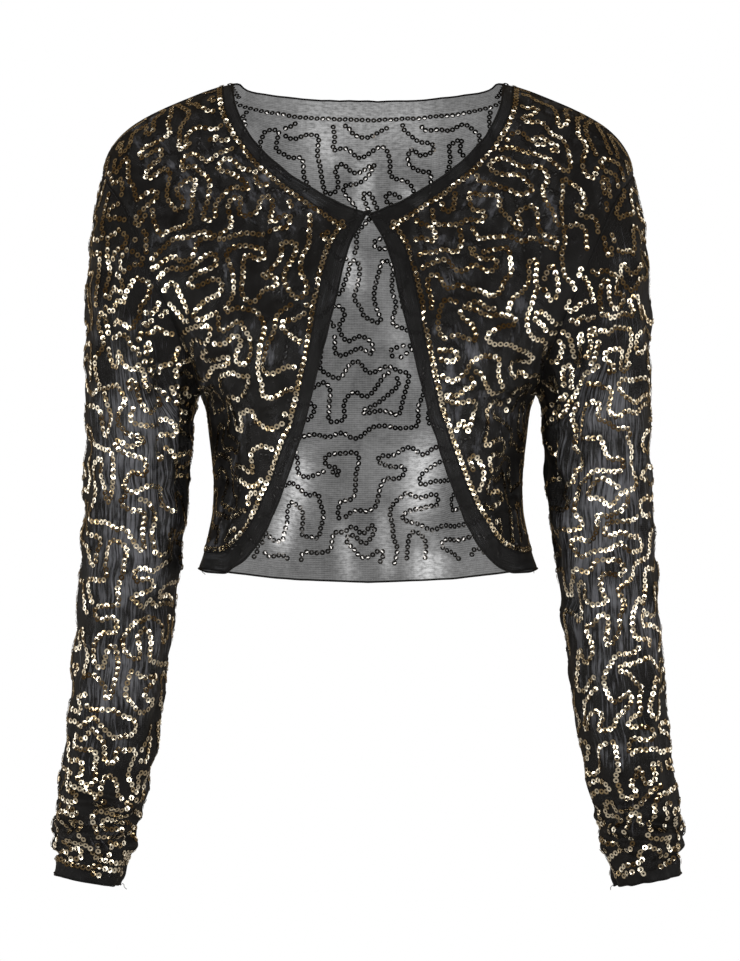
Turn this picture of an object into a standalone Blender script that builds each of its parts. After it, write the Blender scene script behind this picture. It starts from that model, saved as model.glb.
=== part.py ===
"""Cropped open-front shrug in sheer mesh, filled out as if worn, without a wearer.

Every piece a maker would cut is a thin closed wall: one back, two fronts, two sleeves, and the plain
bands that finish the neck, the front edges, the hem and the cuffs. A hook and an eye close the neck.
Tables are in millimetres, in the garment's own frame: X to the wearer's left, the front faces -Y,
Z up, with the origin between the shoulders, level with the sides of the neck. The garment is
symmetric, so tables give the half at +X.
"""
import math

import bmesh
import bpy
import numpy as np

MM = 0.001
CLOTH_WALL = 1.2
SEAM_GAP = 0.3
BACK, FRONT = 1, -1

# The ridge of the shoulder, from the middle of the neck out to the sleeve seam.
SHOULDER_LINE = (
    # x, z
    (0, 8), (109, 2), (124, -2), (145, -10), (168, -20), (186, -30),
    (197, -39), (205, -49), (209.5, -58), (212, -70),
)
# The side seam under the arm: hem, waist, underarm.
SIDE_SEAM = (
    # z, x
    (-415, 142), (-385, 135.5), (-375, 132), (-356, 127), (-337, 123.7),
    (-318, 123), (-298, 124.5), (-279, 126.7), (-260, 129), (-246, 133.5),
)
HEM_SIDE_Z = -385
UNDERARM_Z = -246
# The armhole is a leaning oval. Its angle is 0 at the shoulder, 90 in front and 180 under the arm.
ARMHOLE_TOP_Z = -70
ARMHOLE_HALF_DEPTH = 58
ARMHOLE_LEAN = (
    # angle, x
    (0, 212), (22, 207), (44, 194.5), (64, 183), (82, 172), (98, 162),
    (115, 151), (148, 137), (180, 133.5),
)
# The middle of front and back. Level is 0 at the hem, 1 at the underarm and 2 on the shoulder.
CENTRE_LINE = (
    # level, z, front y, back y
    (-0.2, -427, -92, 87),
    (0.0, -398, -93, 84),
    (0.35, -347, -96.5, 80.5),
    (0.7, -295, -102, 83),
    (1.0, -250, -107, 89),
    (1.2, -212, -107, 93),
    (1.4, -160, -97, 94),
    (1.55, -112, -81, 89),
    (1.7, -62, -62, 76),
    (1.8, -32, -47, 62),
    (1.9, -7, -29, 41),
    (1.96, 3, -13, 19),
    (2.0, 8, 0, 0),
)
# Bands, a row for each pair of points across them: the garment's free edge and the band's seam.
NECK_BAND = (
    # edge x, edge z, seam x, seam z
    (109, 9, 117, 9),
    (106, -14, 114, -16.3),
    (95, -39.5, 102.1, -43.8),
    (78, -60, 83.9, -65.8),
    (59, -76, 63.9, -82.8),
    (35, -91, 41, -99.3),
    (14, -101.5, 27.5, -107.8),
    (1.2, -106, 17.5, -114.8),
)
FRONT_BAND = (
    # edge x, edge z, seam x, seam z
    (1.2, -106, 17.5, -114.8),
    (6, -115, 21.5, -121),
    (13.6, -129, 27.5, -130.5),
    (19.9, -149.5, 33.4, -148),
    (25.3, -174, 38.6, -172),
    (32.3, -202, 43.2, -199.5),
    (39, -228.6, 48, -226),
    (48.5, -266.4, 56.8, -263.5),
    (56.4, -292.6, 65.4, -289),
    (65.5, -319, 75.6, -314.5),
    (73.5, -341, 84.8, -335),
    (80, -354, 91.2, -346),
    (87.5, -366.5, 97, -355.5),
    (97, -377.5, 103.6, -363),
    (106, -384, 109.8, -368.2),
    (115.5, -387.5, 116.8, -371.5),
    (125.5, -387.5, 124.2, -372.3),
    (135.5, -385, 131, -371),
)
FRONT_BAND_TURN = 13
BACK_NECK_BAND = (
    # edge x, edge z, seam x, seam z
    (109, 9, 117, 9),
    (97, -1.5, 104.5, -9),
    (72, -5, 77, -15.5),
    (38, -7.5, 40, -19),
    (0, -8, 0, -20),
)
BACK_HEM_BAND = (
    # edge x, edge z, seam x, seam z
    (135.5, -385, 131, -371),
    (118, -388.3, 117, -376),
    (95, -391.6, 94.5, -379.5),
    (55, -395.9, 55, -384),
    (0, -398, 0, -386),
)
# Sleeve rings below the biceps line, each square to the sleeve's own axis.
SLEEVE_RINGS = (
    # z, centre x, half width, centre y, half depth
    (-275, 183, 42.6, 0, 51),
    (-318, 184.8, 41, -1, 48),
    (-356, 188, 40, -3, 46),
    (-394, 191.6, 38.8, -5, 44.5),
    (-433, 194.8, 38, -7, 43.5),
    (-471, 198.6, 37, -9, 42),
    (-510, 203, 36.2, -11, 40.5),
    (-548, 208.6, 34.4, -13, 38),
    (-567, 213, 32.8, -14, 36.5),
    (-586, 216, 32.6, -14.5, 35.5),
    (-605, 219.4, 30.2, -15, 33.5),
    (-616, 221, 27.6, -15.5, 30.5),
    (-630, 224, 25.8, -16, 28.5),
)
CUFF_BAND_Z = -622.5
# Largest folds, each a soft stroke over the cloth. A positive depth stands out, a negative one sinks.
FRONT_FOLDS = (
    # from x, from z, to x, to z, half width, depth
    (128, -232, 92, -206, 9, -3.2),
    (124, -216, 86, -188, 9, 2.4),
    (118, -262, 106, -345, 11, -3.4),
    (88, -250, 100, -338, 12, 2.6),
    (172, -62, 158, -128, 10, -3.0),
    (146, -48, 138, -132, 12, 2.4),
    (70, -205, 76, -300, 13, 2.8),
)
BACK_FOLDS = (
    # from x, from z, to x, to z, half width, depth
    (0, -190, 3, -400, 16, -3.2),
    (38, -205, 44, -400, 14, 3.4),
    (-40, -230, -36, -400, 15, 3.0),
    (84, -230, 72, -400, 13, -3.2),
    (-82, -215, -76, -400, 14, -3.0),
    (126, -228, 88, -196, 10, -3.0),
    (-126, -228, -90, -200, 10, -3.0),
    (165, -75, 150, -150, 11, -2.6),
    (-165, -75, -150, -150, 11, -2.6),
)
SLEEVE_FOLDS = (
    # from angle, from z, to angle, to z, half width, depth
    (52, -112, 66, -262, 9, -3.0),
    (82, -150, 92, -300, 8, 2.4),
    (300, -120, 290, -280, 9, -2.8),
    (178, -292, 118, -338, 8, -3.2),
    (182, -316, 128, -372, 8, 2.4),
    (196, -296, 244, -350, 8, -3.0),
    (170, -398, 108, -424, 8, -2.8),
    (200, -392, 262, -430, 8, -2.6),
    (70, -440, 78, -556, 9, -2.4),
    (262, -446, 270, -560, 9, -2.4),
    (75, -567, 104, -579, 5, -3.6),
    (104, -579, 156, -582, 5, -3.8),
    (12, -592, 75, -584, 5, -3.4),
    (10, -601, 50, -612, 4.5, -3.4),
    (50, -612, 99, -620, 4.5, -3.0),
    (168, -596, 99, -618, 4.5, -3.2),
    (205, -574, 262, -586, 5, -3.6),
    (262, -586, 330, -576, 5, -3.4),
    (200, -602, 256, -596, 4.5, -3.2),
    (256, -596, 340, -610, 4.5, -3.4),
)
SLEEVE_ROUNDS = 24
CAP_ROWS = 5
ARM_ROWS = 8
RUCHE_TOP_Z = -558
RUCHE_ROWS = 12
SIDE_ROWS = 6
NECK_ROWS = 7
PANEL_COLUMNS = 9
BACK_NECK_COLUMNS = 10
FOLD_REACH_RADIUS = 40
LEAN_SPAN = 8
FOLDS_END_AT_SIDE = 0.2
FOLDS_END_AT_SHOULDER = 0.15
FOLDS_END_AT_ARMHOLE = 0.35

HOOK_WIRE = 0.8
EYE_WIRE = 0.7
HOOK_TURN = 1.1
CLOSURE_Z = -111


def clear_scene():
    for item in list(bpy.data.objects):
        bpy.data.objects.remove(item)


def make_material(name, colour, roughness, metallic):
    material = bpy.data.materials.new(name)
    material.use_nodes = True
    shader = material.node_tree.nodes["Principled BSDF"]
    shader.inputs["Base Color"].default_value = (*colour, 1.0)
    shader.inputs["Roughness"].default_value = roughness
    shader.inputs["Metallic"].default_value = metallic
    material.diffuse_color = (*colour, 1.0)
    return material


def read_smooth(table, at, column=1, flat_ends=False):
    """One column of a table, read between its rows by a cubic that never overshoots them."""
    rows = np.array(table, float)
    keys, values = rows[:, 0], rows[:, column]
    steps = np.diff(keys)
    rises = np.diff(values) / steps
    slopes = np.zeros(len(keys))
    product = rises[:-1] * rises[1:]
    steady = product > 0
    slopes[1:-1][steady] = 2 * product[steady] / (rises[:-1] + rises[1:])[steady]
    if not flat_ends:
        slopes[0], slopes[-1] = rises[0], rises[-1]
    place = np.clip(at, keys[0], keys[-1])
    row = np.clip(np.searchsorted(keys, place, side="right") - 1, 0, len(keys) - 2)
    part = (place - keys[row]) / steps[row]
    rest = 1 - part
    return (
        values[row] * (1 + 2 * part) * rest ** 2
        + values[row + 1] * (1 + 2 * rest) * part ** 2
        + steps[row] * part * rest * (slopes[row] * rest - slopes[row + 1] * part)
    )


def ease(amount):
    amount = np.clip(amount, 0.0, 1.0)
    return amount * amount * (3 - 2 * amount)


def armhole(angle):
    """The sleeve seam at an angle: x, depth in front of the middle plane, z."""
    middle = (ARMHOLE_TOP_Z + UNDERARM_Z) / 2
    half_height = (ARMHOLE_TOP_Z - UNDERARM_Z) / 2
    turned = np.degrees(np.arccos(np.cos(angle)))
    return (
        read_smooth(ARMHOLE_LEAN, turned, flat_ends=True),
        ARMHOLE_HALF_DEPTH * np.sin(angle),
        middle + half_height * np.cos(angle),
    )


def stroke_height(across, along, strokes):
    """Height of all folds at a place: each stroke is a soft ridge that dies away at both ends."""
    height = np.zeros(np.shape(across))
    for from_a, from_b, to_a, to_b, half_width, depth in strokes:
        run_a, run_b = to_a - from_a, to_b - from_b
        part = ((across - from_a) * run_a + (along - from_b) * run_b) / (run_a ** 2 + run_b ** 2)
        held = np.clip(part, 0, 1)
        off = np.hypot(across - from_a - held * run_a, along - from_b - held * run_b)
        height += depth * np.exp(-(off / half_width) ** 2) * (1 - 0.7 * (2 * held - 1) ** 4)
    return height


def torso_curl(level):
    """How roundly a section turns at the side: 2 below the underarm, 1 near the shoulder."""
    return 2 - ease((level - 1) / 0.8)


def torso_smooth(face, side, level):
    """Body of the garment without folds. Side runs from 1 at the side seam to 0 in the middle."""
    side, level = np.broadcast_arrays(np.asarray(side, float), np.asarray(level, float))
    angle = math.pi * (2 - np.clip(level, 1, 2))
    loop_x, loop_y, loop_z = armhole(angle)
    seam_z = HEM_SIDE_Z + (UNDERARM_Z - HEM_SIDE_Z) * level
    low = level <= 1
    outer_x = np.where(low, read_smooth(SIDE_SEAM, seam_z), loop_x)
    outer_y = np.where(low, 0.0, loop_y)
    outer_z = np.where(low, seam_z, loop_z)
    centre_z = read_smooth(CENTRE_LINE, level)
    centre_y = np.abs(read_smooth(CENTRE_LINE, level, 2 if face == FRONT else 3))
    curl = torso_curl(level)
    turn = np.clip(1 - np.abs(side), 0, 1)
    reach = 1 - turn ** curl
    bow = turn * (2 - turn ** curl) ** (1 / curl)
    tip_x, tip_z = SHOULDER_LINE[-1]
    ridge = (read_smooth(SHOULDER_LINE, reach * tip_x) - tip_z) / (SHOULDER_LINE[0][1] - tip_z)
    sloping = ease(level - 1)
    rise = sloping * ridge + (1 - sloping) * (1 - reach ** 2)
    x = np.where(side < 0, -1, 1) * reach * outer_x
    y = face * (outer_y + (centre_y - outer_y) * bow)
    z = outer_z + (centre_z - outer_z) * rise
    return np.stack([x, y, z], -1)


def surface_normal(surface, a, b, outward, step=0.004, low=-9.0, high=9.0):
    """Unit normal of a surface of two values, on the side that outward gives."""
    across = surface(a + step, b) - surface(a - step, b)
    upper, lower = np.minimum(b + step, high), np.maximum(b - step, low)
    along = surface(a, upper) - surface(a, lower)
    normal = np.cross(across, along) * outward
    return normal / np.maximum(np.linalg.norm(normal, axis=-1, keepdims=True), 1e-9)


def torso(face, side, level):
    """The same surface with its folds, which die out at the side, sleeve and shoulder seams."""
    points = torso_smooth(face, side, level)
    if face == FRONT:
        height = stroke_height(np.abs(points[..., 0]), points[..., 2], FRONT_FOLDS)
    else:
        height = stroke_height(points[..., 0], points[..., 2], BACK_FOLDS)
    height = height * ease((1 - np.abs(side)) / FOLDS_END_AT_SIDE)
    height = height * ease((2 - np.asarray(level)) / FOLDS_END_AT_SHOULDER)
    normal = torso_normal(face, side, level, torso_smooth)
    return points + normal * height[..., None]


def torso_normal(face, side, level, surface=torso):
    """Outward normal, held in the seam's own plane along the side seam and the shoulder."""
    side, level = np.broadcast_arrays(np.asarray(side, float), np.asarray(level, float))
    normal = surface_normal(lambda a, b: surface(face, a, b), side, level, -face, high=2.0)
    on_seam = ((np.abs(side) > 0.9999) & (level <= 1.0001)) | (level > 1.9999)
    normal[..., 1] = np.where(on_seam, 0.0, normal[..., 1])
    return normal / np.maximum(np.linalg.norm(normal, axis=-1, keepdims=True), 1e-9)


def find_on_torso(face, x, z):
    """Side and level of the place that shows at x, z from the front."""
    below, above = -0.15, 2.0
    for _ in range(40):
        level = (below + above) / 2
        if torso_smooth(face, side_at(x, level), level)[2] < z:
            below = level
        else:
            above = level
    level = 2.0 if above > 1.99999 else (below + above) / 2
    return side_at(x, level), level


def side_at(x, level):
    if level <= 1:
        outer = read_smooth(SIDE_SEAM, HEM_SIDE_Z + (UNDERARM_Z - HEM_SIDE_Z) * level)
    else:
        outer = armhole(math.pi * (2 - level))[0]
    reach = abs(x) / outer
    return 1 - (0 if reach > 0.998 else 1 - reach) ** (1 / torso_curl(level))


def band_lines(face, rows, places):
    """Both long lines of a band in side and level, at places counted in table rows."""
    keyed = [(index, *row) for index, row in enumerate(rows)]
    edge, seam = [], []
    for place in places:
        edge_x, edge_z, seam_x, seam_z = (float(read_smooth(keyed, place, c)) for c in (1, 2, 3, 4))
        edge.append(find_on_torso(face, edge_x, edge_z))
        seam.append(find_on_torso(face, seam_x, seam_z))
    return np.array(edge), np.array(seam)


def patch(bottom, top, left, right):
    """Grid between four lines of side and level; bottom and top run left to right."""
    u = np.linspace(0, 1, len(bottom))[None, :, None]
    v = np.linspace(0, 1, len(left))[:, None, None]
    across = (1 - v) * bottom[None] + v * top[None]
    upward = (1 - u) * left[:, None] + u * right[:, None]
    corners = (1 - u) * (1 - v) * bottom[0] + u * (1 - v) * bottom[-1]
    corners = corners + (1 - u) * v * top[0] + u * v * top[-1]
    return across + upward - corners


def sleeve_smooth(angle, along):
    """Sleeve of the wearer's left: along is 0 at the armhole, 1 at the biceps, 2 at the cuff's edge."""
    angle, along = np.broadcast_arrays(np.asarray(angle, float), np.asarray(along, float))
    biceps_z, cuff_z = SLEEVE_RINGS[0][0], SLEEVE_RINGS[-1][0]
    ring_z = biceps_z + (cuff_z - biceps_z) * np.clip(along - 1, 0, 1)
    rings = SLEEVE_RINGS[::-1]
    centre_x, half_x = read_smooth(rings, ring_z, 1), read_smooth(rings, ring_z, 2)
    centre_y, half_y = read_smooth(rings, ring_z, 3), read_smooth(rings, ring_z, 4)
    above, below = read_smooth(rings, ring_z + LEAN_SPAN, 1), read_smooth(rings, ring_z - LEAN_SPAN, 1)
    lean = (below - above) / (2 * LEAN_SPAN)
    ring_x = centre_x + half_x * np.cos(angle)
    ring_y = centre_y - half_y * np.sin(angle)
    ring_z = ring_z + lean * half_x * np.cos(angle)
    loop_x, loop_y, loop_z = armhole(angle)
    part = np.clip(along, 0, 1)
    x = loop_x + (ring_x - loop_x) * (1 - (1 - part) ** 4)
    y = -loop_y + (ring_y + loop_y) * ease(part)
    z = loop_z + (ring_z - loop_z) * part
    return np.stack([x, y, z], -1)


def sleeve(angle, along):
    points = sleeve_smooth(angle, along)
    height = np.zeros(points.shape[:-1])
    for from_angle, from_z, to_angle, to_z, half_width, depth in SLEEVE_FOLDS:
        middle = math.radians((from_angle + to_angle) / 2)
        turned = (angle - middle + math.pi) % (2 * math.pi) - math.pi
        half_turn = math.radians(to_angle - from_angle) / 2 * FOLD_REACH_RADIUS
        stroke = (-half_turn, from_z, half_turn, to_z, half_width, depth)
        height += stroke_height(turned * FOLD_REACH_RADIUS, points[..., 2], [stroke])
    height = height * ease(np.asarray(along) / FOLDS_END_AT_ARMHOLE)
    return points + sleeve_normal(angle, along, sleeve_smooth) * height[..., None]


def sleeve_normal(angle, along, surface=sleeve):
    return surface_normal(surface, angle, along, 1, low=0.0, high=2.0)


def pull_in(points, normals, wraps):
    """Draw a grid's border in by half a seam gap, within the cloth."""
    pulled = points.copy()
    for axis in (0,) if wraps else (0, 1):
        for end, inner in ((0, 1), (-1, -2)):
            edge = np.take(points, end, axis)
            into = np.take(points, inner, axis) - edge
            normal = np.take(normals, end, axis)
            if wraps:
                run = np.roll(edge, -1, 0) - np.roll(edge, 1, 0)
            else:
                run = np.gradient(edge, axis=0)
            run = run / np.linalg.norm(run, axis=-1, keepdims=True)
            aside = np.cross(run, normal)
            aside = aside / np.linalg.norm(aside, axis=-1, keepdims=True)
            aside = aside * np.sign(np.sum(aside * into, -1, keepdims=True))
            place = [slice(None), slice(None)]
            place[axis] = end
            pulled[tuple(place)] += aside * SEAM_GAP / 2
    return pulled


def make_wall(name, points, normals, material, wraps=False, wall=CLOTH_WALL, mirror=False):
    """One closed wall round a grid of mid-surface points; wraps joins the last column to the first."""
    mid = pull_in(points, normals, wraps)
    rows, columns = mid.shape[:2]
    outer = (mid + normals * wall / 2).reshape(-1, 3)
    inner = (mid - normals * wall / 2).reshape(-1, 3)
    vertices = np.concatenate([outer, inner]) * MM
    if mirror:
        vertices[:, 0] *= -1
    count = rows * columns
    faces = []
    last = columns if wraps else columns - 1
    for row in range(rows - 1):
        for column in range(last):
            beside = (column + 1) % columns
            a, b = row * columns + column, row * columns + beside
            c, d = a + columns, b + columns
            faces.append((a, b, d, c))
            faces.append((count + a, count + c, count + d, count + b))
    border = [(column, (column + 1) % columns) for column in range(last)]
    top = (rows - 1) * columns
    border += [(top + (column + 1) % columns, top + column) for column in range(last)]
    if not wraps:
        border += [((row + 1) * columns, row * columns) for row in range(rows - 1)]
        border += [((row + 1) * columns - 1, (row + 2) * columns - 1) for row in range(rows - 1)]
    faces += [(b, a, count + a, count + b) for a, b in border]
    mesh = bpy.data.meshes.new(name)
    mesh.from_pydata([tuple(v) for v in vertices], [], faces)
    shell = bmesh.new()
    shell.from_mesh(mesh)
    bmesh.ops.recalc_face_normals(shell, faces=shell.faces)
    shell.to_mesh(mesh)
    shell.free()
    mesh.materials.append(material)
    mesh.shade_smooth()
    mesh.set_sharp_from_angle(angle=math.radians(50))
    item = bpy.data.objects.new(name, mesh)
    bpy.context.collection.objects.link(item)
    return item


def armhole_frame(angle, face):
    """Shared rim direction where body and sleeve meet, lengthened so that both walls keep their size."""
    level = 2 - np.arccos(np.cos(angle)) / math.pi
    body = torso_normal(face, np.ones_like(level), level)
    arm = sleeve_normal(angle, np.zeros_like(level))
    shared = body + arm
    on_middle = np.abs(np.sin(angle)) < 1e-6
    shared[..., 1] = np.where(on_middle, 0.0, shared[..., 1])
    shared /= np.linalg.norm(shared, axis=-1, keepdims=True)
    lengthen = 1 / np.clip(np.sum(shared * body, -1, keepdims=True), 0.55, 1)
    return shared * lengthen


def torso_piece(name, face, grid, material, mirror=False):
    """A wall over a grid of side and level, sharing its rims with the sleeves at the armholes."""
    side, level = grid[..., 0], grid[..., 1]
    points, normals = torso(face, side, level), torso_normal(face, side, level)
    for column in (0, -1):
        at_armhole = (np.abs(side[:, column]) > 0.9999) & (level[:, column] > 0.9999)
        if at_armhole.any():
            turned = math.pi * (2 - level[at_armhole, column])
            rims = armhole_frame(turned if face == FRONT else -turned, face)
            rims[:, 0] *= np.sign(side[at_armhole, column])
            normals[at_armhole, column] = rims
    make_wall(name, points, normals, material, mirror=mirror)


def seam_levels(start):
    """Levels up the side seam, then one for each row of the sleeve up to the shoulder."""
    side_seam = np.linspace(start, 1, SIDE_ROWS + 1)[:-1]
    return np.concatenate([side_seam, np.linspace(1, 2, SLEEVE_ROUNDS // 2 + 1)])


def shoulder_sides(neck_side):
    return np.linspace(1, neck_side, PANEL_COLUMNS + 1)


def make_front(side_name, mirror, cloth, band):
    neck_places = np.linspace(0, len(NECK_BAND) - 1, NECK_ROWS + 1)
    neck_edge, neck_seam = band_lines(FRONT, NECK_BAND, neck_places)
    up_rows = SIDE_ROWS + SLEEVE_ROUNDS // 2 - NECK_ROWS
    places = np.concatenate([
        np.linspace(0, FRONT_BAND_TURN, up_rows + 1),
        np.linspace(FRONT_BAND_TURN, len(FRONT_BAND) - 1, PANEL_COLUMNS + 1)[1:],
    ])
    front_edge, front_seam = band_lines(FRONT, FRONT_BAND, places)
    levels = seam_levels(front_seam[-1, 1])
    outer = np.stack([np.ones_like(levels), levels], -1)
    sides = shoulder_sides(neck_seam[0, 0])
    shoulder = np.stack([sides, np.full_like(sides, 2.0)], -1)
    bottom = front_seam[up_rows:][::-1]
    inner = np.concatenate([front_seam[:up_rows + 1][::-1], neck_seam[::-1][1:]])
    torso_piece(f"front_panel_{side_name}", FRONT, patch(bottom, shoulder, outer, inner), cloth, mirror)
    neck = np.stack([neck_edge, neck_seam], 0)
    torso_piece(f"neck_band_{side_name}", FRONT, neck[:, ::-1], band, mirror)
    front = np.stack([front_edge, front_seam], 0)
    torso_piece(f"front_band_{side_name}", FRONT, front[:, ::-1], band, mirror)
    return neck_seam[0, 0], front_seam[-1, 1]


def mirrored_line(half):
    """A line from the wearer's left to the middle, carried on to the right."""
    other = half[::-1][1:] * np.array([-1, 1])
    return np.concatenate([half, other])


def make_back(neck_side, side_level, cloth, band):
    neck_places = np.linspace(0, len(BACK_NECK_BAND) - 1, BACK_NECK_COLUMNS // 2 + 1)
    neck_edge, neck_seam = band_lines(BACK, BACK_NECK_BAND, neck_places)
    sides = shoulder_sides(neck_side)
    shoulder = np.stack([sides, np.full_like(sides, 2.0)], -1)
    top = mirrored_line(np.concatenate([shoulder, neck_seam[1:]]))
    hem_places = np.linspace(0, len(BACK_HEM_BAND) - 1, PANEL_COLUMNS + BACK_NECK_COLUMNS // 2 + 1)
    hem_edge, hem_seam = band_lines(BACK, BACK_HEM_BAND, hem_places)
    hem_seam[0] = (1, side_level)
    levels = seam_levels(side_level)
    left = np.stack([np.ones_like(levels), levels], -1)
    grid = patch(mirrored_line(hem_seam), top, left, left * np.array([-1, 1]))
    torso_piece("back_panel", BACK, grid, cloth)
    neck = np.stack([mirrored_line(neck_seam), mirrored_line(neck_edge)], 0)
    torso_piece("back_neck_band", BACK, neck, band)
    hem = np.stack([mirrored_line(hem_edge), mirrored_line(hem_seam)], 0)
    torso_piece("back_hem_band", BACK, hem, band)


def make_sleeve(side_name, mirror, cloth, band):
    biceps_z, cuff_z = SLEEVE_RINGS[0][0], SLEEVE_RINGS[-1][0]
    heights = np.concatenate([
        np.linspace(biceps_z, RUCHE_TOP_Z, ARM_ROWS + 1)[1:],
        np.linspace(RUCHE_TOP_Z, CUFF_BAND_Z, RUCHE_ROWS + 1)[1:],
    ])
    below_biceps = 1 + (heights - biceps_z) / (cuff_z - biceps_z)
    along = np.concatenate([np.linspace(0, 1, CAP_ROWS + 1), below_biceps])
    angles = np.arange(SLEEVE_ROUNDS) * 2 * math.pi / SLEEVE_ROUNDS
    angle_grid, along_grid = np.meshgrid(angles, along)
    points, normals = sleeve(angle_grid, along_grid), sleeve_normal(angle_grid, along_grid)
    in_front = np.sin(angles) > -1e-6
    normals[0, in_front] = armhole_frame(angles[in_front], FRONT)
    normals[0, ~in_front] = armhole_frame(angles[~in_front], BACK)
    make_wall(f"sleeve_{side_name}", points, normals, cloth, wraps=True, mirror=mirror)
    band_along = np.array([along[-1], 2.0])
    angle_grid, along_grid = np.meshgrid(angles, band_along)
    points, normals = sleeve(angle_grid, along_grid), sleeve_normal(angle_grid, along_grid)
    make_wall(f"cuff_band_{side_name}", points, normals, band, wraps=True, mirror=mirror)


def make_wire(name, path, wire, material):
    curve = bpy.data.curves.new(name, "CURVE")
    curve.dimensions = "3D"
    curve.bevel_depth = wire / 2 * MM
    curve.bevel_resolution = 2
    curve.use_fill_caps = True
    spline = curve.splines.new("POLY")
    spline.points.add(len(path) - 1)
    for point, place in zip(spline.points, path):
        point.co = (*(value * MM for value in place), 1)
    curve.materials.append(material)
    item = bpy.data.objects.new(name, curve)
    bpy.context.collection.objects.link(item)


def inside_of_front(x, z):
    """Depth of the front's inner face behind a place near the closure."""
    side, level = find_on_torso(FRONT, x, z)
    return float(torso(FRONT, side, level)[1]) + CLOTH_WALL / 2


def make_closure(metal):
    """Hook on the wearer's right, sewn behind the corner, catching the eye on the wearer's left."""
    half = 2.4
    seat = inside_of_front(8, CLOSURE_Z + half + 1.2) + SEAM_GAP + HOOK_WIRE / 2
    turn_x = 1.6
    bend = []
    for degrees in range(-75, 76, 25):
        turned = math.radians(degrees)
        out, back = HOOK_TURN * math.cos(turned), HOOK_TURN * (1 + math.sin(turned))
        bend.append((turn_x + out, seat + back, CLOSURE_Z))
    shank = [(-8, seat, CLOSURE_Z - 1.6), (-6.5, seat, CLOSURE_Z - 0.4), (-4.5, seat, CLOSURE_Z)]
    tip = [(-0.6, seat + 2 * HOOK_TURN, CLOSURE_Z)]
    make_wire("hook", shank + bend + tip, HOOK_WIRE, metal)
    middle = seat + HOOK_TURN
    bar_x, foot_x = 1.45, 8
    eye = [
        (foot_x, seat + 0.2, CLOSURE_Z + half + 0.8),
        (foot_x - 3, seat + 0.4, CLOSURE_Z + half),
        (bar_x + 0.5, middle, CLOSURE_Z + half - 0.2),
        (bar_x, middle, CLOSURE_Z + half - 0.9),
        (bar_x, middle, CLOSURE_Z - half + 0.9),
        (bar_x + 0.5, middle, CLOSURE_Z - half + 0.2),
        (foot_x - 3, seat + 0.4, CLOSURE_Z - half),
        (foot_x, seat + 0.2, CLOSURE_Z - half - 0.8),
    ]
    make_wire("eye", eye, EYE_WIRE, metal)


def build():
    clear_scene()
    cloth = make_material("sequinned_mesh", (0.055, 0.048, 0.034), 0.55, 0.0)
    band = make_material("plain_mesh_band", (0.012, 0.012, 0.013), 0.6, 0.0)
    metal = make_material("black_hook_metal", (0.03, 0.03, 0.032), 0.35, 1.0)
    for side_name, mirror in (("left", False), ("right", True)):
        neck_side, side_level = make_front(side_name, mirror, cloth, band)
        make_sleeve(side_name, mirror, cloth, band)
    make_back(neck_side, side_level, cloth, band)
    make_closure(metal)


build()
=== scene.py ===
"""Looks of a cropped, open-front shrug in black sheer mesh, sewn with gold ring sequins."""
import math

import bpy
import mathutils
import mathutils.kdtree
import numpy as np
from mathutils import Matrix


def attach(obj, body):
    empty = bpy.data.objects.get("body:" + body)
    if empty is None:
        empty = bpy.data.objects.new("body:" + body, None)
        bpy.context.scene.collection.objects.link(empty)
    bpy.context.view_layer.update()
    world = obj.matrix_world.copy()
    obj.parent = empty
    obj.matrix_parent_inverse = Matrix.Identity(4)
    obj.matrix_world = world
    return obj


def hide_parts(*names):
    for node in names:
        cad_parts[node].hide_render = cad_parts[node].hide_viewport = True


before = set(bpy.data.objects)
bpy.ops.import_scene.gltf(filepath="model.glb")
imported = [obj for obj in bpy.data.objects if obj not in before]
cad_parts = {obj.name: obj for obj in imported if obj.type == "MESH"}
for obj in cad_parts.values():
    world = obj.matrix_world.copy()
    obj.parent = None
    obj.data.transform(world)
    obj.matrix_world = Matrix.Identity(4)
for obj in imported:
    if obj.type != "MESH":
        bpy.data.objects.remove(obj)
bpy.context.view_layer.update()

# Back. One piece of fine black knitted mesh, sheer enough to show the white ground through it. It is
# cut with dropped armholes, and hangs from the shoulder seams in long soft folds. Every other piece
# of the body lies on the same worn form, which is worked out here in millimetres.
MM = 0.001
BACK, FRONT = 1, -1
SHOULDER_LINE = (
    # x, z
    (0, 8), (109, 2), (124, -2), (145, -10), (168, -20), (186, -30),
    (197, -39), (205, -49), (209.5, -58), (212, -70),
)
SIDE_SEAM = (
    # z, x
    (-415, 142), (-385, 135.5), (-375, 132), (-356, 127), (-337, 123.7),
    (-318, 123), (-298, 124.5), (-279, 126.7), (-260, 129), (-246, 133.5),
)
HEM_SIDE_Z = -385
LOWEST_LEVEL = -0.15
FRONT_BAND_SIDE_Z = -371
UNDERARM_Z = -246
ARMHOLE_TOP_Z = -70
ARMHOLE_HALF_DEPTH = 58
ARMHOLE_LEAN = (
    # angle, x
    (0, 212), (22, 207), (44, 194.5), (64, 183), (82, 172), (98, 162),
    (115, 151), (148, 137), (180, 133.5),
)
CENTRE_LINE = (
    # level, z, front y, back y
    (-0.2, -427, -92, 87),
    (0.0, -398, -93, 84),
    (0.35, -347, -96.5, 80.5),
    (0.7, -295, -102, 83),
    (1.0, -250, -107, 89),
    (1.2, -212, -107, 93),
    (1.4, -160, -97, 94),
    (1.55, -112, -81, 89),
    (1.7, -62, -62, 76),
    (1.8, -32, -47, 62),
    (1.9, -7, -29, 41),
    (1.96, 3, -13, 19),
    (2.0, 8, 0, 0),
)
BACK_NECK_BAND = (
    # edge x, edge z, seam x, seam z
    (109, 9, 117, 9),
    (97, -1.5, 104.5, -9),
    (72, -5, 77, -15.5),
    (38, -7.5, 40, -19),
    (0, -8, 0, -20),
)
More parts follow.
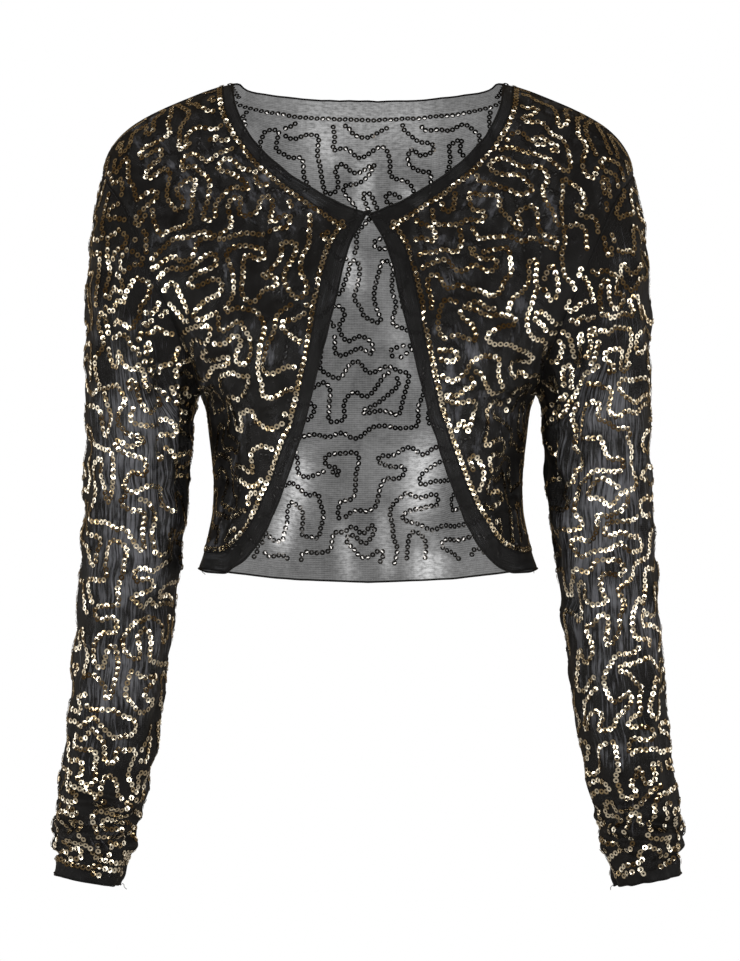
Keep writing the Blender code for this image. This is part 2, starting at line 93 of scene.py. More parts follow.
BACK_HEM_BAND = (
    # edge x, edge z, seam x, seam z
    (135.5, -385, 131, -371),
    (118, -388.3, 117, -376),
    (95, -391.6, 94.5, -379.5),
    (55, -395.9, 55, -384),
    (0, -398, 0, -386),
)
# Folds are soft strokes over the cloth: a positive depth stands out, a negative one sinks in.
BACK_FOLDS = (
    # from x, from z, to x, to z, half width, depth
    (0, -190, 3, -400, 16, -3.2),
    (38, -205, 44, -400, 14, 3.4),
    (-40, -230, -36, -400, 15, 3.0),
    (84, -230, 72, -400, 13, -3.2),
    (-82, -215, -76, -400, 14, -3.0),
    (126, -228, 88, -196, 10, -3.0),
    (-126, -228, -90, -200, 10, -3.0),
    (165, -75, 150, -150, 11, -2.6),
    (-165, -75, -150, -150, 11, -2.6),
    (22, -250, 20, -398, 6, -1.3),
    (-18, -210, -22, -396, 7, -1.2),
    (58, -240, 60, -398, 6, 1.2),
    (-60, -260, -55, -398, 6, 1.4),
    (100, -300, 94, -392, 7, 1.3),
    (-104, -290, -97, -392, 7, -1.2),
    (60, -40, 40, -130, 14, -1.6),
    (-52, -36, -36, -140, 15, -1.5),
    (15, -50, 12, -150, 12, 1.4),
    (118, -214, 76, -176, 8, 1.8),
    (-120, -212, -80, -180, 8, 1.8),
)
body_folds = {BACK: BACK_FOLDS}
PUCKER = {BACK: 0.5, FRONT: 0.9}
PUCKER_SEED = {BACK: 8, FRONT: 6}
SHORTEST_SWELL, LONGEST_SWELL, SWELLS = 18, 50, 16
SIDE_FADE, SHOULDER_FADE = 0.2, 0.15
# Where the net is drawn apart, more light comes through it, and its colour is painted lighter there, a
# painted sheen: strength 1 is the loosest.
BACK_LOOSE_AND_SHEEN = (
    # from x, from z, to x, to z, half width, strength
    (-54, -296, -62, -346, 9, 0.9),
    (46, -286, 40, -344, 13, 0.9),
    (52, -372, 46, -398, 14, 1.0),
    (-68, -342, -70, -372, 8, 0.8),
    (-20, -352, -16, -398, 7, 0.5),
    (12, -340, 16, -396, 6, 0.45),
    (-2, -52, -4, -104, 6, 0.7),
    (28, -76, 46, -92, 6, 0.6),
    (-16, -124, -12, -160, 7, 0.8),
    (-40, -26, -30, -60, 9, 0.35),
    (24, -180, 30, -240, 7, 0.25),
    (-64, -22, 64, -22, 34, 0.42),
)
body_loose_and_sheen = {BACK: BACK_LOOSE_AND_SHEEN}


def read_smooth(table, at, column=1, flat_ends=False):
    """One column of a table, read between its rows by a cubic that never overshoots them."""
    rows = np.array(table, float)
    keys, values = rows[:, 0], rows[:, column]
    steps = np.diff(keys)
    rises = np.diff(values) / steps
    slopes = np.zeros(len(keys))
    product = rises[:-1] * rises[1:]
    steady = product > 0
    slopes[1:-1][steady] = 2 * product[steady] / (rises[:-1] + rises[1:])[steady]
    if not flat_ends:
        slopes[0], slopes[-1] = rises[0], rises[-1]
    place = np.clip(at, keys[0], keys[-1])
    row = np.clip(np.searchsorted(keys, place, side="right") - 1, 0, len(keys) - 2)
    part = (place - keys[row]) / steps[row]
    rest = 1 - part
    return (
        values[row] * (1 + 2 * part) * rest ** 2
        + values[row + 1] * (1 + 2 * rest) * part ** 2
        + steps[row] * part * rest * (slopes[row] * rest - slopes[row + 1] * part)
    )


def ease(amount):
    amount = np.clip(amount, 0.0, 1.0)
    return amount * amount * (3 - 2 * amount)


def pucker(across, along, seed, size):
    """Height of slow, uneven swells, 18 to 50 mm long, which sewing leaves in any thin cloth."""
    least, most = (0, SHORTEST_SWELL, 0), (math.tau, LONGEST_SWELL, math.tau)
    height = np.zeros(np.shape(across))
    for turn, length, phase in np.random.default_rng(seed).uniform(least, most, (SWELLS, 3)):
        wave = (across * math.cos(turn) * 1.6 + along * math.sin(turn)) * math.tau / length
        height += np.sin(wave + phase) * length / LONGEST_SWELL
    return height * size / 2


def unit(vectors):
    return vectors / np.maximum(np.linalg.norm(vectors, axis=-1, keepdims=True), 1e-9)


def armhole(angle):
    """The sleeve seam at an angle: x, depth in front of the middle plane, z."""
    middle = (ARMHOLE_TOP_Z + UNDERARM_Z) / 2
    half_height = (ARMHOLE_TOP_Z - UNDERARM_Z) / 2
    turned = np.degrees(np.arccos(np.cos(angle)))
    return (
        read_smooth(ARMHOLE_LEAN, turned, flat_ends=True),
        ARMHOLE_HALF_DEPTH * np.sin(angle),
        middle + half_height * np.cos(angle),
    )


def stroke_height(across, along, strokes):
    """Height of all folds at a place: each stroke is a soft ridge that dies away at both ends."""
    height = np.zeros(np.shape(across))
    for from_a, from_b, to_a, to_b, half_width, depth in strokes:
        run_a, run_b = to_a - from_a, to_b - from_b
        part = ((across - from_a) * run_a + (along - from_b) * run_b) / (run_a ** 2 + run_b ** 2)
        held = np.clip(part, 0, 1)
        off = np.hypot(across - from_a - held * run_a, along - from_b - held * run_b)
        height += depth * np.exp(-(off / half_width) ** 2) * (1 - 0.7 * (2 * held - 1) ** 4)
    return height


def side_seam_z(level):
    return HEM_SIDE_Z + (UNDERARM_Z - HEM_SIDE_Z) * level


def torso_curl(level):
    """How sharply a section turns round the side: 2 is round, 1 is flat."""
    return 2 - ease((level - 1) / 0.8)


def outer_x(level):
    loop_x = armhole(math.pi * (2 - np.clip(level, 1, 2)))[0]
    return np.where(level <= 1, read_smooth(SIDE_SEAM, side_seam_z(level)), loop_x)


def torso_smooth(face, side, level):
    """Body of the garment without folds. Side is 1 at the side seam and 0 in the middle."""
    side, level = np.broadcast_arrays(np.asarray(side, float), np.asarray(level, float))
    loop_y, loop_z = armhole(math.pi * (2 - np.clip(level, 1, 2)))[1:]
    seam_y = np.where(level <= 1, 0.0, loop_y)
    seam_z = np.where(level <= 1, side_seam_z(level), loop_z)
    centre_z = read_smooth(CENTRE_LINE, level)
    centre_y = np.abs(read_smooth(CENTRE_LINE, level, 2 if face == FRONT else 3))
    curl = torso_curl(level)
    turn = np.clip(1 - np.abs(side), 0, 1)
    reach = 1 - turn ** curl
    bow = turn * (2 - turn ** curl) ** (1 / curl)
    tip_x, tip_z = SHOULDER_LINE[-1]
    ridge = (read_smooth(SHOULDER_LINE, reach * tip_x) - tip_z) / (SHOULDER_LINE[0][1] - tip_z)
    sloping = ease(level - 1)
    rise = sloping * ridge + (1 - sloping) * (1 - reach ** 2)
    x = np.where(side < 0, -1, 1) * reach * outer_x(level)
    y = face * (seam_y + (centre_y - seam_y) * bow)
    z = seam_z + (centre_z - seam_z) * rise
    return np.stack([x, y, z], -1)


NORMAL_STEP = 0.004


def surface_normal(surface, a, b, outward, low=-9.0):
    """Unit normal of a surface of two values, on the side that outward gives."""
    across = surface(a + NORMAL_STEP, b) - surface(a - NORMAL_STEP, b)
    above, below = np.minimum(b + NORMAL_STEP, 2.0), np.maximum(b - NORMAL_STEP, low)
    along = surface(a, above) - surface(a, below)
    return unit(np.cross(across, along) * outward)


def torso_normal(face, side, level, surface):
    """Outward normal, held in the seam's own plane along the side seam and the shoulder."""
    side, level = np.broadcast_arrays(np.asarray(side, float), np.asarray(level, float))
    normal = surface_normal(lambda a, b: surface(face, a, b), side, level, -face)
    on_seam = ((np.abs(side) > 0.9999) & (level <= 1.0001)) | (level > 1.9999)
    normal[..., 1] = np.where(on_seam, 0.0, normal[..., 1])
    return unit(normal)


def torso(face, side, level):
    """The same surface with its folds, which die out at the side, sleeve and shoulder seams."""
    points = torso_smooth(face, side, level)
    height = stroke_height(points[..., 0], points[..., 2], body_folds[face])
    height += pucker(points[..., 0], points[..., 2], PUCKER_SEED[face], PUCKER[face])
    height = height * ease((1 - np.abs(side)) / SIDE_FADE) * ease((2 - np.asarray(level)) / SHOULDER_FADE)
    return points + torso_normal(face, side, level, torso_smooth) * height[..., None]


def find_on_torso(face, x, z):
    """Side and level of the places that show at x, z from the front."""
    x, z = np.asarray(x, float), np.asarray(z, float)
    below, above = np.full(x.shape, LOWEST_LEVEL), np.full(x.shape, 2.0)
    for _ in range(40):
        level = (below + above) / 2
        low = torso_smooth(face, side_at(x, level), level)[..., 2] < z
        below, above = np.where(low, level, below), np.where(low, above, level)
    level = np.where(above > 1.99999, 2.0, (below + above) / 2)
    return np.stack([side_at(x, level), level], -1)


def side_at(x, level):
    reach = np.abs(x) / outer_x(level)
    missing = np.where(reach > 0.998, 0.0, 1 - np.minimum(reach, 1))
    return (1 - missing ** (1 / torso_curl(level))) * np.where(x < 0, -1, 1)


def band_lines(face, rows, places):
    """Both long lines of a band in side and level, at places counted in table rows."""
    keyed = [(index, *row) for index, row in enumerate(rows)]
    edge_x, edge_z, seam_x, seam_z = (read_smooth(keyed, places, column) for column in (1, 2, 3, 4))
    return find_on_torso(face, edge_x, edge_z), find_on_torso(face, seam_x, seam_z)


def patch(bottom, top, left, right):
    """Grid between four lines of side and level; bottom and top run left to right."""
    u = np.linspace(0, 1, len(bottom))[None, :, None]
    v = np.linspace(0, 1, len(left))[:, None, None]
    across = (1 - v) * bottom[None] + v * top[None]
    upward = (1 - u) * left[:, None] + u * right[:, None]
    corners = (1 - u) * (1 - v) * bottom[0] + u * (1 - v) * bottom[-1]
    return across + upward - corners - (1 - u) * v * top[0] - u * v * top[-1]


def mirrored_line(half):
    """A line from the wearer's left to the middle, carried on to the right."""
    return np.concatenate([half, half[::-1][1:] * np.array([-1, 1])])


def cloth_object(name, points, normals, material, loose, wraps=False):
    """A thin sheet over a grid of points in millimetres, with a UV map in metres of cloth and, at
    each point, how loose the net is."""
    rows, columns = points.shape[:2]
    across = np.linalg.norm(np.diff(points, axis=1), axis=-1)
    across = np.concatenate([np.zeros((rows, 1)), np.cumsum(across, 1)], 1)
    across -= across[:, columns // 2][:, None]
    up = np.linalg.norm(np.diff(points, axis=0), axis=-1).mean(1)
    up = np.concatenate([[0], np.cumsum(up)])
    sheet_uv = np.stack([across, np.broadcast_to(up[:, None], (rows, columns))], -1) * MM
    a = (np.arange(rows - 1)[:, None] * columns + np.arange(columns - 1)[None]).ravel()
    faces = np.stack([a, a + 1, a + columns + 1, a + columns], -1)
    flat = points.reshape(-1, 3)
    loose = np.broadcast_to(loose, (rows, columns)).ravel()
    first = np.cross(flat[faces[:, 1]] - flat[faces[:, 0]], flat[faces[:, 3]] - flat[faces[:, 0]])
    if np.sum(first * normals.reshape(-1, 3)[faces[:, 0]]) < 0:
        faces = faces[:, ::-1]
    uv = sheet_uv.reshape(-1, 2)[faces.ravel()]
    if wraps:
        joined = np.arange(rows * columns).reshape(rows, columns)
        joined[:, -1] = joined[:, 0]
        faces = joined.ravel()[faces]
        kept = np.unique(faces)
        renumbered = np.zeros(rows * columns, int)
        renumbered[kept] = np.arange(len(kept))
        faces, flat, loose = renumbered[faces], flat[kept], loose[kept]
    mesh = bpy.data.meshes.new(name)
    mesh.from_pydata((flat * MM).tolist(), [], faces.tolist())
    mesh.uv_layers.new(name="cloth").data.foreach_set("uv", uv.ravel())
    looseness_and_sheen = mesh.attributes.new("loose", "FLOAT", "POINT")
    looseness_and_sheen.data.foreach_set("value", np.ascontiguousarray(loose))
    mesh.materials.append(material)
    mesh.shade_smooth()
    item = bpy.data.objects.new(name, mesh)
    bpy.context.collection.objects.link(item)
    return item


def torso_sheet(name, face, grid, material):
    points = torso(face, grid[..., 0], grid[..., 1])
    normals = torso_normal(face, grid[..., 0], grid[..., 1], torso)
    loose = np.clip(stroke_height(points[..., 0], points[..., 2], body_loose_and_sheen[face]), 0, 1)
    return cloth_object(name, points, normals, material, loose)


def linear(code):
    """A colour written as in a paint program, as Blender's linear values."""
    parts = [int(code[start:start + 2], 16) / 255 for start in (0, 2, 4)]
    return (*(p / 12.92 if p <= 0.04045 else ((p + 0.055) / 1.055) ** 2.4 for p in parts), 1.0)


def add_node(tree, kind, inputs=(), **settings):
    """A node with its settings; inputs are values, or the sockets of other nodes to link."""
    node = tree.nodes.new(kind)
    for name, value in settings.items():
        setattr(node, name, value)
    for name, value in dict(inputs).items():
        if isinstance(value, bpy.types.NodeSocket):
            tree.links.new(value, node.inputs[name])
        else:
            node.inputs[name].default_value = value
    return node


def new_material(name, colour, gloss=0.5, **values):
    material = bpy.data.materials.new(name)
    material.use_nodes = True
    shader = material.node_tree.nodes["Principled BSDF"]
    shader.inputs["Base Color"].default_value = linear(colour)
    shader.inputs["Specular IOR Level"].default_value = gloss
    for label, value in values.items():
        shader.inputs[label.replace("_", " ").title()].default_value = value
    material.diffuse_color = linear(colour)
    return material, material.node_tree, shader


def reckon(tree, operation, *values, **settings):
    """One step of arithmetic on numbers or sockets."""
    settings["operation"] = operation
    return add_node(tree, "ShaderNodeMath", dict(enumerate(values)), **settings).outputs[0]


def stretch(tree, value, to_low, to_high, low=0.0, high=1.0):
    """A value moved from one range to another, and held at its ends."""
    return add_node(tree, "ShaderNodeMapRange", {
        "Value": value, "From Min": low, "From Max": high, "To Min": to_low, "To Max": to_high}).outputs[0]


def roughened(tree, shader, height, strength, distance):
    bump = add_node(tree, "ShaderNodeBump", {"Height": height, "Strength": strength, "Distance": distance})
    tree.links.new(bump.outputs["Normal"], shader.inputs["Normal"])


COURSE, WALE = 0.0017, 0.0013


def knit_net(tree, shader, thin, thick, smoke, opened, light, grain):
    """Cover of a fine knitted net: rows and wales of loops, and slow drifts of looser cloth. Where the
    drifts, streaks and loose net run high, the base colour is painted lighter towards the light colour, a
    painted sheen standing in for light caught where the net puckers. Opened is how much cover goes where
    it is loosest."""
    place = add_node(tree, "ShaderNodeUVMap", uv_map="cloth").outputs["UV"]
    rows, wales = (add_node(tree, "ShaderNodeTexWave", {
        "Vector": place, "Scale": math.tau / 20 / pitch, "Distortion": 1.0}, bands_direction=way)
        for pitch, way in ((COURSE, "Y"), (WALE, "X")))
    net = add_node(tree, "ShaderNodeMix", {0: 0.35, 2: rows.outputs["Fac"], 3: wales.outputs["Fac"]})
    net = net.outputs[0]
    cover = stretch(tree, net, thin, thick)
    own = add_node(tree, "ShaderNodeTexCoord").outputs["Object"]
    drift = add_node(tree, "ShaderNodeTexNoise", {
        "Vector": own, "Scale": 22.0, "Detail": 4.0, "Roughness": 0.6, "Distortion": 0.6}).outputs["Fac"]
    haze = stretch(tree, drift, smoke, -smoke, 0.38, 0.62)
    drawn = add_node(tree, "ShaderNodeVectorMath", {0: place, 1: grain}, operation="MULTIPLY").outputs[0]
    streaks = add_node(tree, "ShaderNodeTexNoise", {
        "Vector": drawn, "Scale": 420.0, "Detail": 4.0, "Roughness": 0.65}).outputs["Fac"]
    crinkle = stretch(tree, streaks, smoke * 0.8, -smoke * 0.8, 0.35, 0.65)
    loose = add_node(tree, "ShaderNodeAttribute", attribute_name="loose").outputs["Fac"]
    gauze_and_sheen = reckon(tree, "MULTIPLY", loose, stretch(tree, streaks, 0.25, 1.3, 0.3, 0.6))
    open_net = reckon(tree, "MULTIPLY", gauze_and_sheen, -opened)
    uneven = reckon(tree, "ADD", reckon(tree, "ADD", haze, crinkle), open_net)
    alpha = reckon(tree, "ADD", cover, uneven, use_clamp=True)
    tree.links.new(alpha, shader.inputs["Alpha"])
    # Painted sheen: the base colour is mixed towards the light colour where drift, streaks and loose net
    # run high.
    loose_painted_sheen = reckon(tree, "MULTIPLY", gauze_and_sheen, 0.15)
    painted_sheen_amount = reckon(tree, "ADD", reckon(tree, "MULTIPLY", drift, streaks), loose_painted_sheen)
    painted_sheen = stretch(tree, painted_sheen_amount, 0.0, 1.0, 0.31, 0.5)
    dark = shader.inputs["Base Color"].default_value[:]
    colour = add_node(tree, "ShaderNodeMix", {0: painted_sheen, 6: dark, 7: linear(light)}, data_type="RGBA")
    tree.links.new(colour.outputs[2], shader.inputs["Base Color"])
    roughened(tree, shader, net, 0.2, 0.0003)


# The knitted net itself: soft black yarn, thin enough that two layers still let light through. The
# net is drawn at 1.7 mm, coarser than the real one of under a millimetre, so that a render shows it.
back_cloth, tree, shader = new_material("sheer_black_net", "0d0c0c", gloss=0.15, roughness=0.6)
# The light colour is that of the painted sheen which knit_net mixes into the net.
knit_net(tree, shader, thin=0.80, thick=0.90, smoke=0.03, opened=0.42, light="3a3c40",
         grain=(0.5, 1.0, 1.0))

BACK_ROWS = 120
neck_edge, neck_seam = band_lines(BACK, BACK_NECK_BAND, np.linspace(0, len(BACK_NECK_BAND) - 1, 21))
hem_edge, hem_seam = band_lines(BACK, BACK_HEM_BAND, np.linspace(0, len(BACK_HEM_BAND) - 1, 61))
side_level = (FRONT_BAND_SIDE_Z - HEM_SIDE_Z) / (UNDERARM_Z - HEM_SIDE_Z)
hem_seam[0] = (1, side_level)
neck_side = neck_seam[0, 0]
shoulder_sides = np.linspace(1, neck_side, 41)
shoulder = np.stack([shoulder_sides, np.full_like(shoulder_sides, 2.0)], -1)
seam_levels = np.linspace(side_level, 2, BACK_ROWS)
left_seam = np.stack([np.ones_like(seam_levels), seam_levels], -1)
back_top = mirrored_line(np.concatenate([shoulder, neck_seam[1:]]))
back_grid = patch(mirrored_line(hem_seam), back_top, left_seam, left_seam * np.array([-1, 1]))
back = torso_sheet("back_mesh", BACK, back_grid, back_cloth)

# Fronts. Two pieces of the same mesh, mirror images in the cut, curved away from the closure at the
# neck down to the side seams. Each is pulled into creases from the underarm towards the bust, which
# differ a little from side to side, as they do on a garment that has been put on.
NECK_BAND = (
    # edge x, edge z, seam x, seam z
    (109, 9, 117, 9),
    (106, -14, 114, -16.3),
    (95, -39.5, 102.1, -43.8),
    (78, -60, 83.9, -65.8),
    (59, -76, 63.9, -82.8),
    (35, -91, 41, -99.3),
    (14, -101.5, 27.5, -107.8),
    (1.2, -106, 17.5, -114.8),
)
FRONT_BAND = (
    # edge x, edge z, seam x, seam z
    (1.2, -106, 17.5, -114.8),
    (6, -115, 21.5, -121),
    (13.6, -129, 27.5, -130.5),
    (19.9, -149.5, 33.4, -148),
    (25.3, -174, 38.6, -172),
    (32.3, -202, 43.2, -199.5),
    (39, -228.6, 48, -226),
    (48.5, -266.4, 56.8, -263.5),
    (56.4, -292.6, 65.4, -289),
    (65.5, -319, 75.6, -314.5),
    (73.5, -341, 84.8, -335),
    (80, -354, 91.2, -346),
    (87.5, -366.5, 97, -355.5),
    (97, -377.5, 103.6, -363),
    (106, -384, 109.8, -368.2),
    (115.5, -387.5, 116.8, -371.5),
    (125.5, -387.5, 124.2, -372.3),
    (135.5, -385, 131, -371),
)
FRONT_FOLDS_EACH_SIDE = (
    # from x, from z, to x, to z, half width, depth
    (128, -232, 92, -206, 9, -3.2),
    (124, -216, 86, -188, 9, 2.4),
    (118, -262, 106, -345, 11, -3.4),
    (88, -250, 100, -338, 12, 2.6),
    (172, -62, 158, -128, 10, -3.0),
    (146, -48, 138, -132, 12, 2.4),
    (70, -205, 76, -300, 13, 2.8),
)
FRONT_FOLDS = (
    *FRONT_FOLDS_EACH_SIDE,
    *((-from_x, from_z, -to_x, *rest) for from_x, from_z, to_x, *rest in FRONT_FOLDS_EACH_SIDE),
    (122, -244, 78, -238, 6, 1.6),
    (-124, -246, -84, -246, 6, 1.8),
    (112, -262, 74, -262, 7, -1.4),
    (-118, -268, -82, -262, 6, -1.5),
    (124, -290, 92, -300, 7, 1.2),
    (-126, -300, -96, -306, 7, 1.3),
    (64, -110, 52, -180, 12, 1.6),
    (-72, -112, -58, -190, 12, 1.8),
    (98, -70, 84, -150, 11, -1.6),
    (-94, -74, -86, -140, 11, -1.8),
    (178, -90, 160, -170, 7, 1.4),
    (-176, -96, -156, -160, 7, 1.5),
)
body_folds[FRONT] = FRONT_FOLDS
# Places on the fronts where the net is drawn apart and its colour is painted lighter, a painted sheen.
FRONT_LOOSE_AND_SHEEN = (
    # from x, from z, to x, to z, half width, strength
    (-78, -68, -102, -98, 9, 0.6),
    (-38, -94, -44, -116, 7, 0.6),
    (-82, -206, -76, -224, 7, 0.9),
    (-64, -140, -70, -170, 8, 0.3),
    (-112, -120, -104, -170, 9, 0.5),
    (-148, -70, -132, -130, 8, 0.5),
    (80, -70, 98, -102, 9, 0.5),
    (40, -96, 44, -120, 6, 0.7),
    (80, -206, 84, -226, 7, 0.9),
    (70, -136, 64, -168, 8, 0.35),
    (114, -110, 108, -166, 9, 0.5),
    (150, -76, 136, -136, 8, 0.5),
)
body_loose_and_sheen[FRONT] = FRONT_LOOSE_AND_SHEEN

# The same net again, a little closed up by its sewing.
mesh_cloth, tree, shader = new_material("sewn_black_net", "0d0c0c", gloss=0.15, roughness=0.6)
# The light colour is that of the painted sheen which knit_net mixes into the net.
knit_net(tree, shader, thin=0.95, thick=0.985, smoke=0.03, opened=0.1, light="5e6068",
         grain=(0.3, 0.12, 1.0))
BAND_TURN = 13
front_places = np.concatenate([np.linspace(0, BAND_TURN, 81), np.linspace(BAND_TURN, 17, 61)[1:]])
front_neck_edge, front_neck_seam = band_lines(FRONT, NECK_BAND, np.linspace(0, 7, 41))
front_edge, front_seam = band_lines(FRONT, FRONT_BAND, front_places)
front_edge[-1, 0], front_seam[-1] = 1, (1, side_level)
front_levels = np.linspace(side_level, 2, 121)
front_outer = np.stack([np.ones_like(front_levels), front_levels], -1)
front_shoulder_sides = np.linspace(1, front_neck_seam[0, 0], 61)
front_shoulder = np.stack([front_shoulder_sides, np.full(61, 2.0)], -1)
front_inner = np.concatenate([front_seam[:81][::-1], front_neck_seam[::-1][1:]])
front_grid = patch(front_seam[80:][::-1], front_shoulder, front_outer, front_inner)
to_right = np.array([-1, 1])
fronts = {
    "left": torso_sheet("front_mesh_left", FRONT, front_grid, mesh_cloth),
    "right": torso_sheet("front_mesh_right", FRONT, front_grid * to_right, mesh_cloth),
}

# Sleeves. Long one-piece tubes of the same mesh, set into the armholes and pushed up the arm, so that
# they gather into slanting ruche folds above the wrist. The seam runs down the inner side.
SLEEVE_RINGS = (
    # z, centre x, half width, centre y, half depth
    (-275, 183, 42.6, 0, 51),
    (-318, 184.8, 41, -1, 48),
    (-356, 188, 40, -3, 46),
    (-394, 191.6, 38.8, -5, 44.5),
    (-433, 194.8, 38, -7, 43.5),
    (-471, 198.6, 37, -9, 42),
    (-510, 203, 36.2, -11, 40.5),
    (-548, 208.6, 34.4, -13, 38),
    (-567, 213, 32.8, -14, 36.5),
    (-586, 216, 32.6, -14.5, 35.5),
    (-605, 219.4, 30.2, -15, 33.5),
    (-616, 221, 27.6, -15.5, 30.5),
    (-630, 224, 25.8, -16, 28.5),
)
CUFF_BAND_Z = -622.5
SLEEVE_FOLDS = (
    # from angle, from z, to angle, to z, half width, depth
    (52, -112, 66, -262, 9, -3.0),
    (82, -150, 92, -300, 8, 2.4),
    (300, -120, 290, -280, 9, -2.8),
    (178, -292, 118, -338, 8, -3.2),
    (182, -316, 128, -372, 8, 2.4),
    (196, -296, 244, -350, 8, -3.0),
    (170, -398, 108, -424, 8, -2.8),
    (200, -392, 262, -430, 8, -2.6),
    (70, -440, 78, -556, 9, -2.4),
    (262, -446, 270, -560, 9, -2.4),
    (75, -567, 104, -579, 5, -3.6),
    (104, -579, 156, -582, 5, -3.8),
    (12, -592, 75, -584, 5, -3.4),
    (10, -601, 50, -612, 4.5, -3.4),
    (50, -612, 99, -620, 4.5, -3.0),
    (168, -596, 99, -618, 4.5, -3.2),
    (205, -574, 262, -586, 5, -3.6),
    (262, -586, 330, -576, 5, -3.4),
    (200, -602, 256, -596, 4.5, -3.2),
    (256, -596, 340, -610, 4.5, -3.4),
)
FINE_SLEEVE_FOLDS = {
    # from angle, from z, to angle, to z, half width, depth
    "left": (
        (112, -150, 120, -330, 5, -4.2), (128, -165, 138, -320, 5, 3.2), (146, -190, 150, -330, 5, -4.2),
        (98, -180, 104, -300, 4, 2.0), (63, -562, 162, -576, 4, -4.0), (22, -590, 95, -584, 4, -4.0),
        (95, -584, 176, -586, 4, -4.0), (13, -607, 67, -601, 3.5, -3.4), (67, -601, 178, -597, 3.5, -3.4),
        (51, -602, 125, -615, 3.5, -2.4), (40, -569, 168, -571, 4, 2.6), (150, -583, 206, -582, 4, 2.2),
        (150, -591, 206, -592, 3.5, -1.6), (-30, -588, 36, -590, 6, 1.2), (-30, -598, 26, -599, 2.5, -1.2),
        (-30, -605, 30, -606, 3, 1.6), (-24, -613, 28, -613, 2.5, -3.2), (160, -606, 206, -606, 4, 2.6),
        (200, -566, 300, -574, 4, -3.6), (240, -592, 330, -586, 4, -3.6), (196, -604, 280, -608, 3.5, -3.2),
        (30, -96, 44, -190, 6, 1.4), (96, -230, 120, -262, 6, -1.4), (70, -300, 110, -330, 6, 1.3),
        (150, -352, 92, -388, 6, -1.5), (60, -370, 98, -410, 7, 1.2), (104, -440, 110, -540, 6, 1.2),
        (48, -460, 56, -550, 6, 1.1), (88, -470, 92, -560, 4, -1.2), (30, -560, 90, -566, 4, 1.8),
        (88, -572, 140, -570, 3.5, 1.8), (20, -582, 76, -576, 3.5, 1.7), (64, -594, 120, -590, 3.5, 1.8),
        (110, -600, 160, -606, 3.5, 1.6), (24, -606, 72, -601, 3, 1.5), (60, -604, 104, -609, 3, -1.4),
        (210, -590, 300, -596, 3.5, 1.7), (240, -566, 320, -562, 4, 1.6),
    ),
    "right": (
        (114, -146, 118, -320, 5, -4.0), (130, -170, 136, -330, 5, 3.4), (144, -196, 152, -322, 5, -4.4),
        (96, -190, 106, -306, 4, 1.8), (58, -559, 158, -574, 4, -4.2), (26, -592, 92, -586, 4, -3.8),
        (92, -586, 172, -583, 4, -4.2), (16, -606, 70, -603, 3.5, -3.6), (70, -603, 174, -596, 3.5, -3.2),
        (48, -604, 120, -616, 3.5, -2.6), (44, -567, 164, -569, 4, 2.8), (148, -582, 204, -581, 4, 2.4),
        (148, -590, 206, -590, 3.5, -1.8), (-34, -586, 34, -588, 6, 1.4), (-30, -597, 24, -598, 2.5, -1.4),
        (-28, -604, 32, -605, 3, 1.8), (-24, -612, 28, -612, 2.5, -3.4), (158, -604, 204, -605, 4, 2.8),
        (204, -564, 296, -572, 4, -3.4), (244, -590, 326, -588, 4, -3.8), (198, -602, 284, -606, 3.5, -3.0),
        (26, -100, 40, -176, 6, 1.3), (100, -222, 122, -250, 6, -1.3), (64, -312, 112, -322, 6, 1.4),
        (154, -344, 90, -366, 6, -1.6), (52, -392, 100, -402, 7, 1.1), (100, -450, 112, -530, 6, 1.1),
        (52, -450, 50, -540, 6, 1.2), (84, -486, 94, -556, 4, -1.1), (36, -566, 84, -560, 4, 1.7),
        (92, -566, 146, -575, 3.5, 1.9), (14, -576, 70, -580, 3.5, 1.6), (58, -590, 116, -596, 3.5, 1.8),
        (104, -606, 156, -600, 3.5, 1.6), (20, -611, 66, -604, 3, 1.5), (66, -601, 108, -612, 3, -1.4),
        (214, -594, 296, -590, 3.5, 1.7), (236, -560, 324, -568, 4, 1.6),
    ),
}
FOLD_REACH_RADIUS = 40
CUFF_DROP, CUFF_DROP_STARTS = 3.5, 1.9
CAP_FADE = 0.35
# The sleeves are worn flat at the front and the back, where the net is drawn into upright streaks and
# opened. There its colour is also painted lighter, a painted sheen that makes the middle of each sleeve
# lighter than its sides.
sleeve_cloth, tree, shader = new_material("streaky_black_net", "0d0c0c", gloss=0.15, roughness=0.6)
# The light colour is that of the painted sheen which knit_net mixes into the net.
knit_net(tree, shader, thin=0.94, thick=0.98, smoke=0.03, opened=0.1, light="6a6c73",
         grain=(1.2, 0.08, 1.0))
BICEPS_Z, CUFF_EDGE_Z = SLEEVE_RINGS[0][0], SLEEVE_RINGS[-1][0]


def sleeve_smooth(angle, along):
    """Sleeve of the wearer's left: along is 0 at the armhole, 1 at the biceps, 2 at the cuff's edge."""
    angle, along = np.broadcast_arrays(np.asarray(angle, float), np.asarray(along, float))
    ring_z = BICEPS_Z + (CUFF_EDGE_Z - BICEPS_Z) * np.clip(along - 1, 0, 1)
    rings = SLEEVE_RINGS[::-1]
    centre_x, half_x = read_smooth(rings, ring_z, 1), read_smooth(rings, ring_z, 2)
    centre_y, half_y = read_smooth(rings, ring_z, 3), read_smooth(rings, ring_z, 4)
    lean = (read_smooth(rings, ring_z - 8, 1) - read_smooth(rings, ring_z + 8, 1)) / 16
    ring_x = centre_x + half_x * np.cos(angle)
    ring_y = centre_y - half_y * np.sin(angle)
    ring_z = ring_z + lean * half_x * np.cos(angle)
    loop_x, loop_y, loop_z = armhole(angle)
    part = np.clip(along, 0, 1)
    x = loop_x + (ring_x - loop_x) * (1 - (1 - part) ** 4)
    y = -loop_y + (ring_y + loop_y) * ease(part)
    z = loop_z + (ring_z - loop_z) * part
    return np.stack([x, y, z], -1)


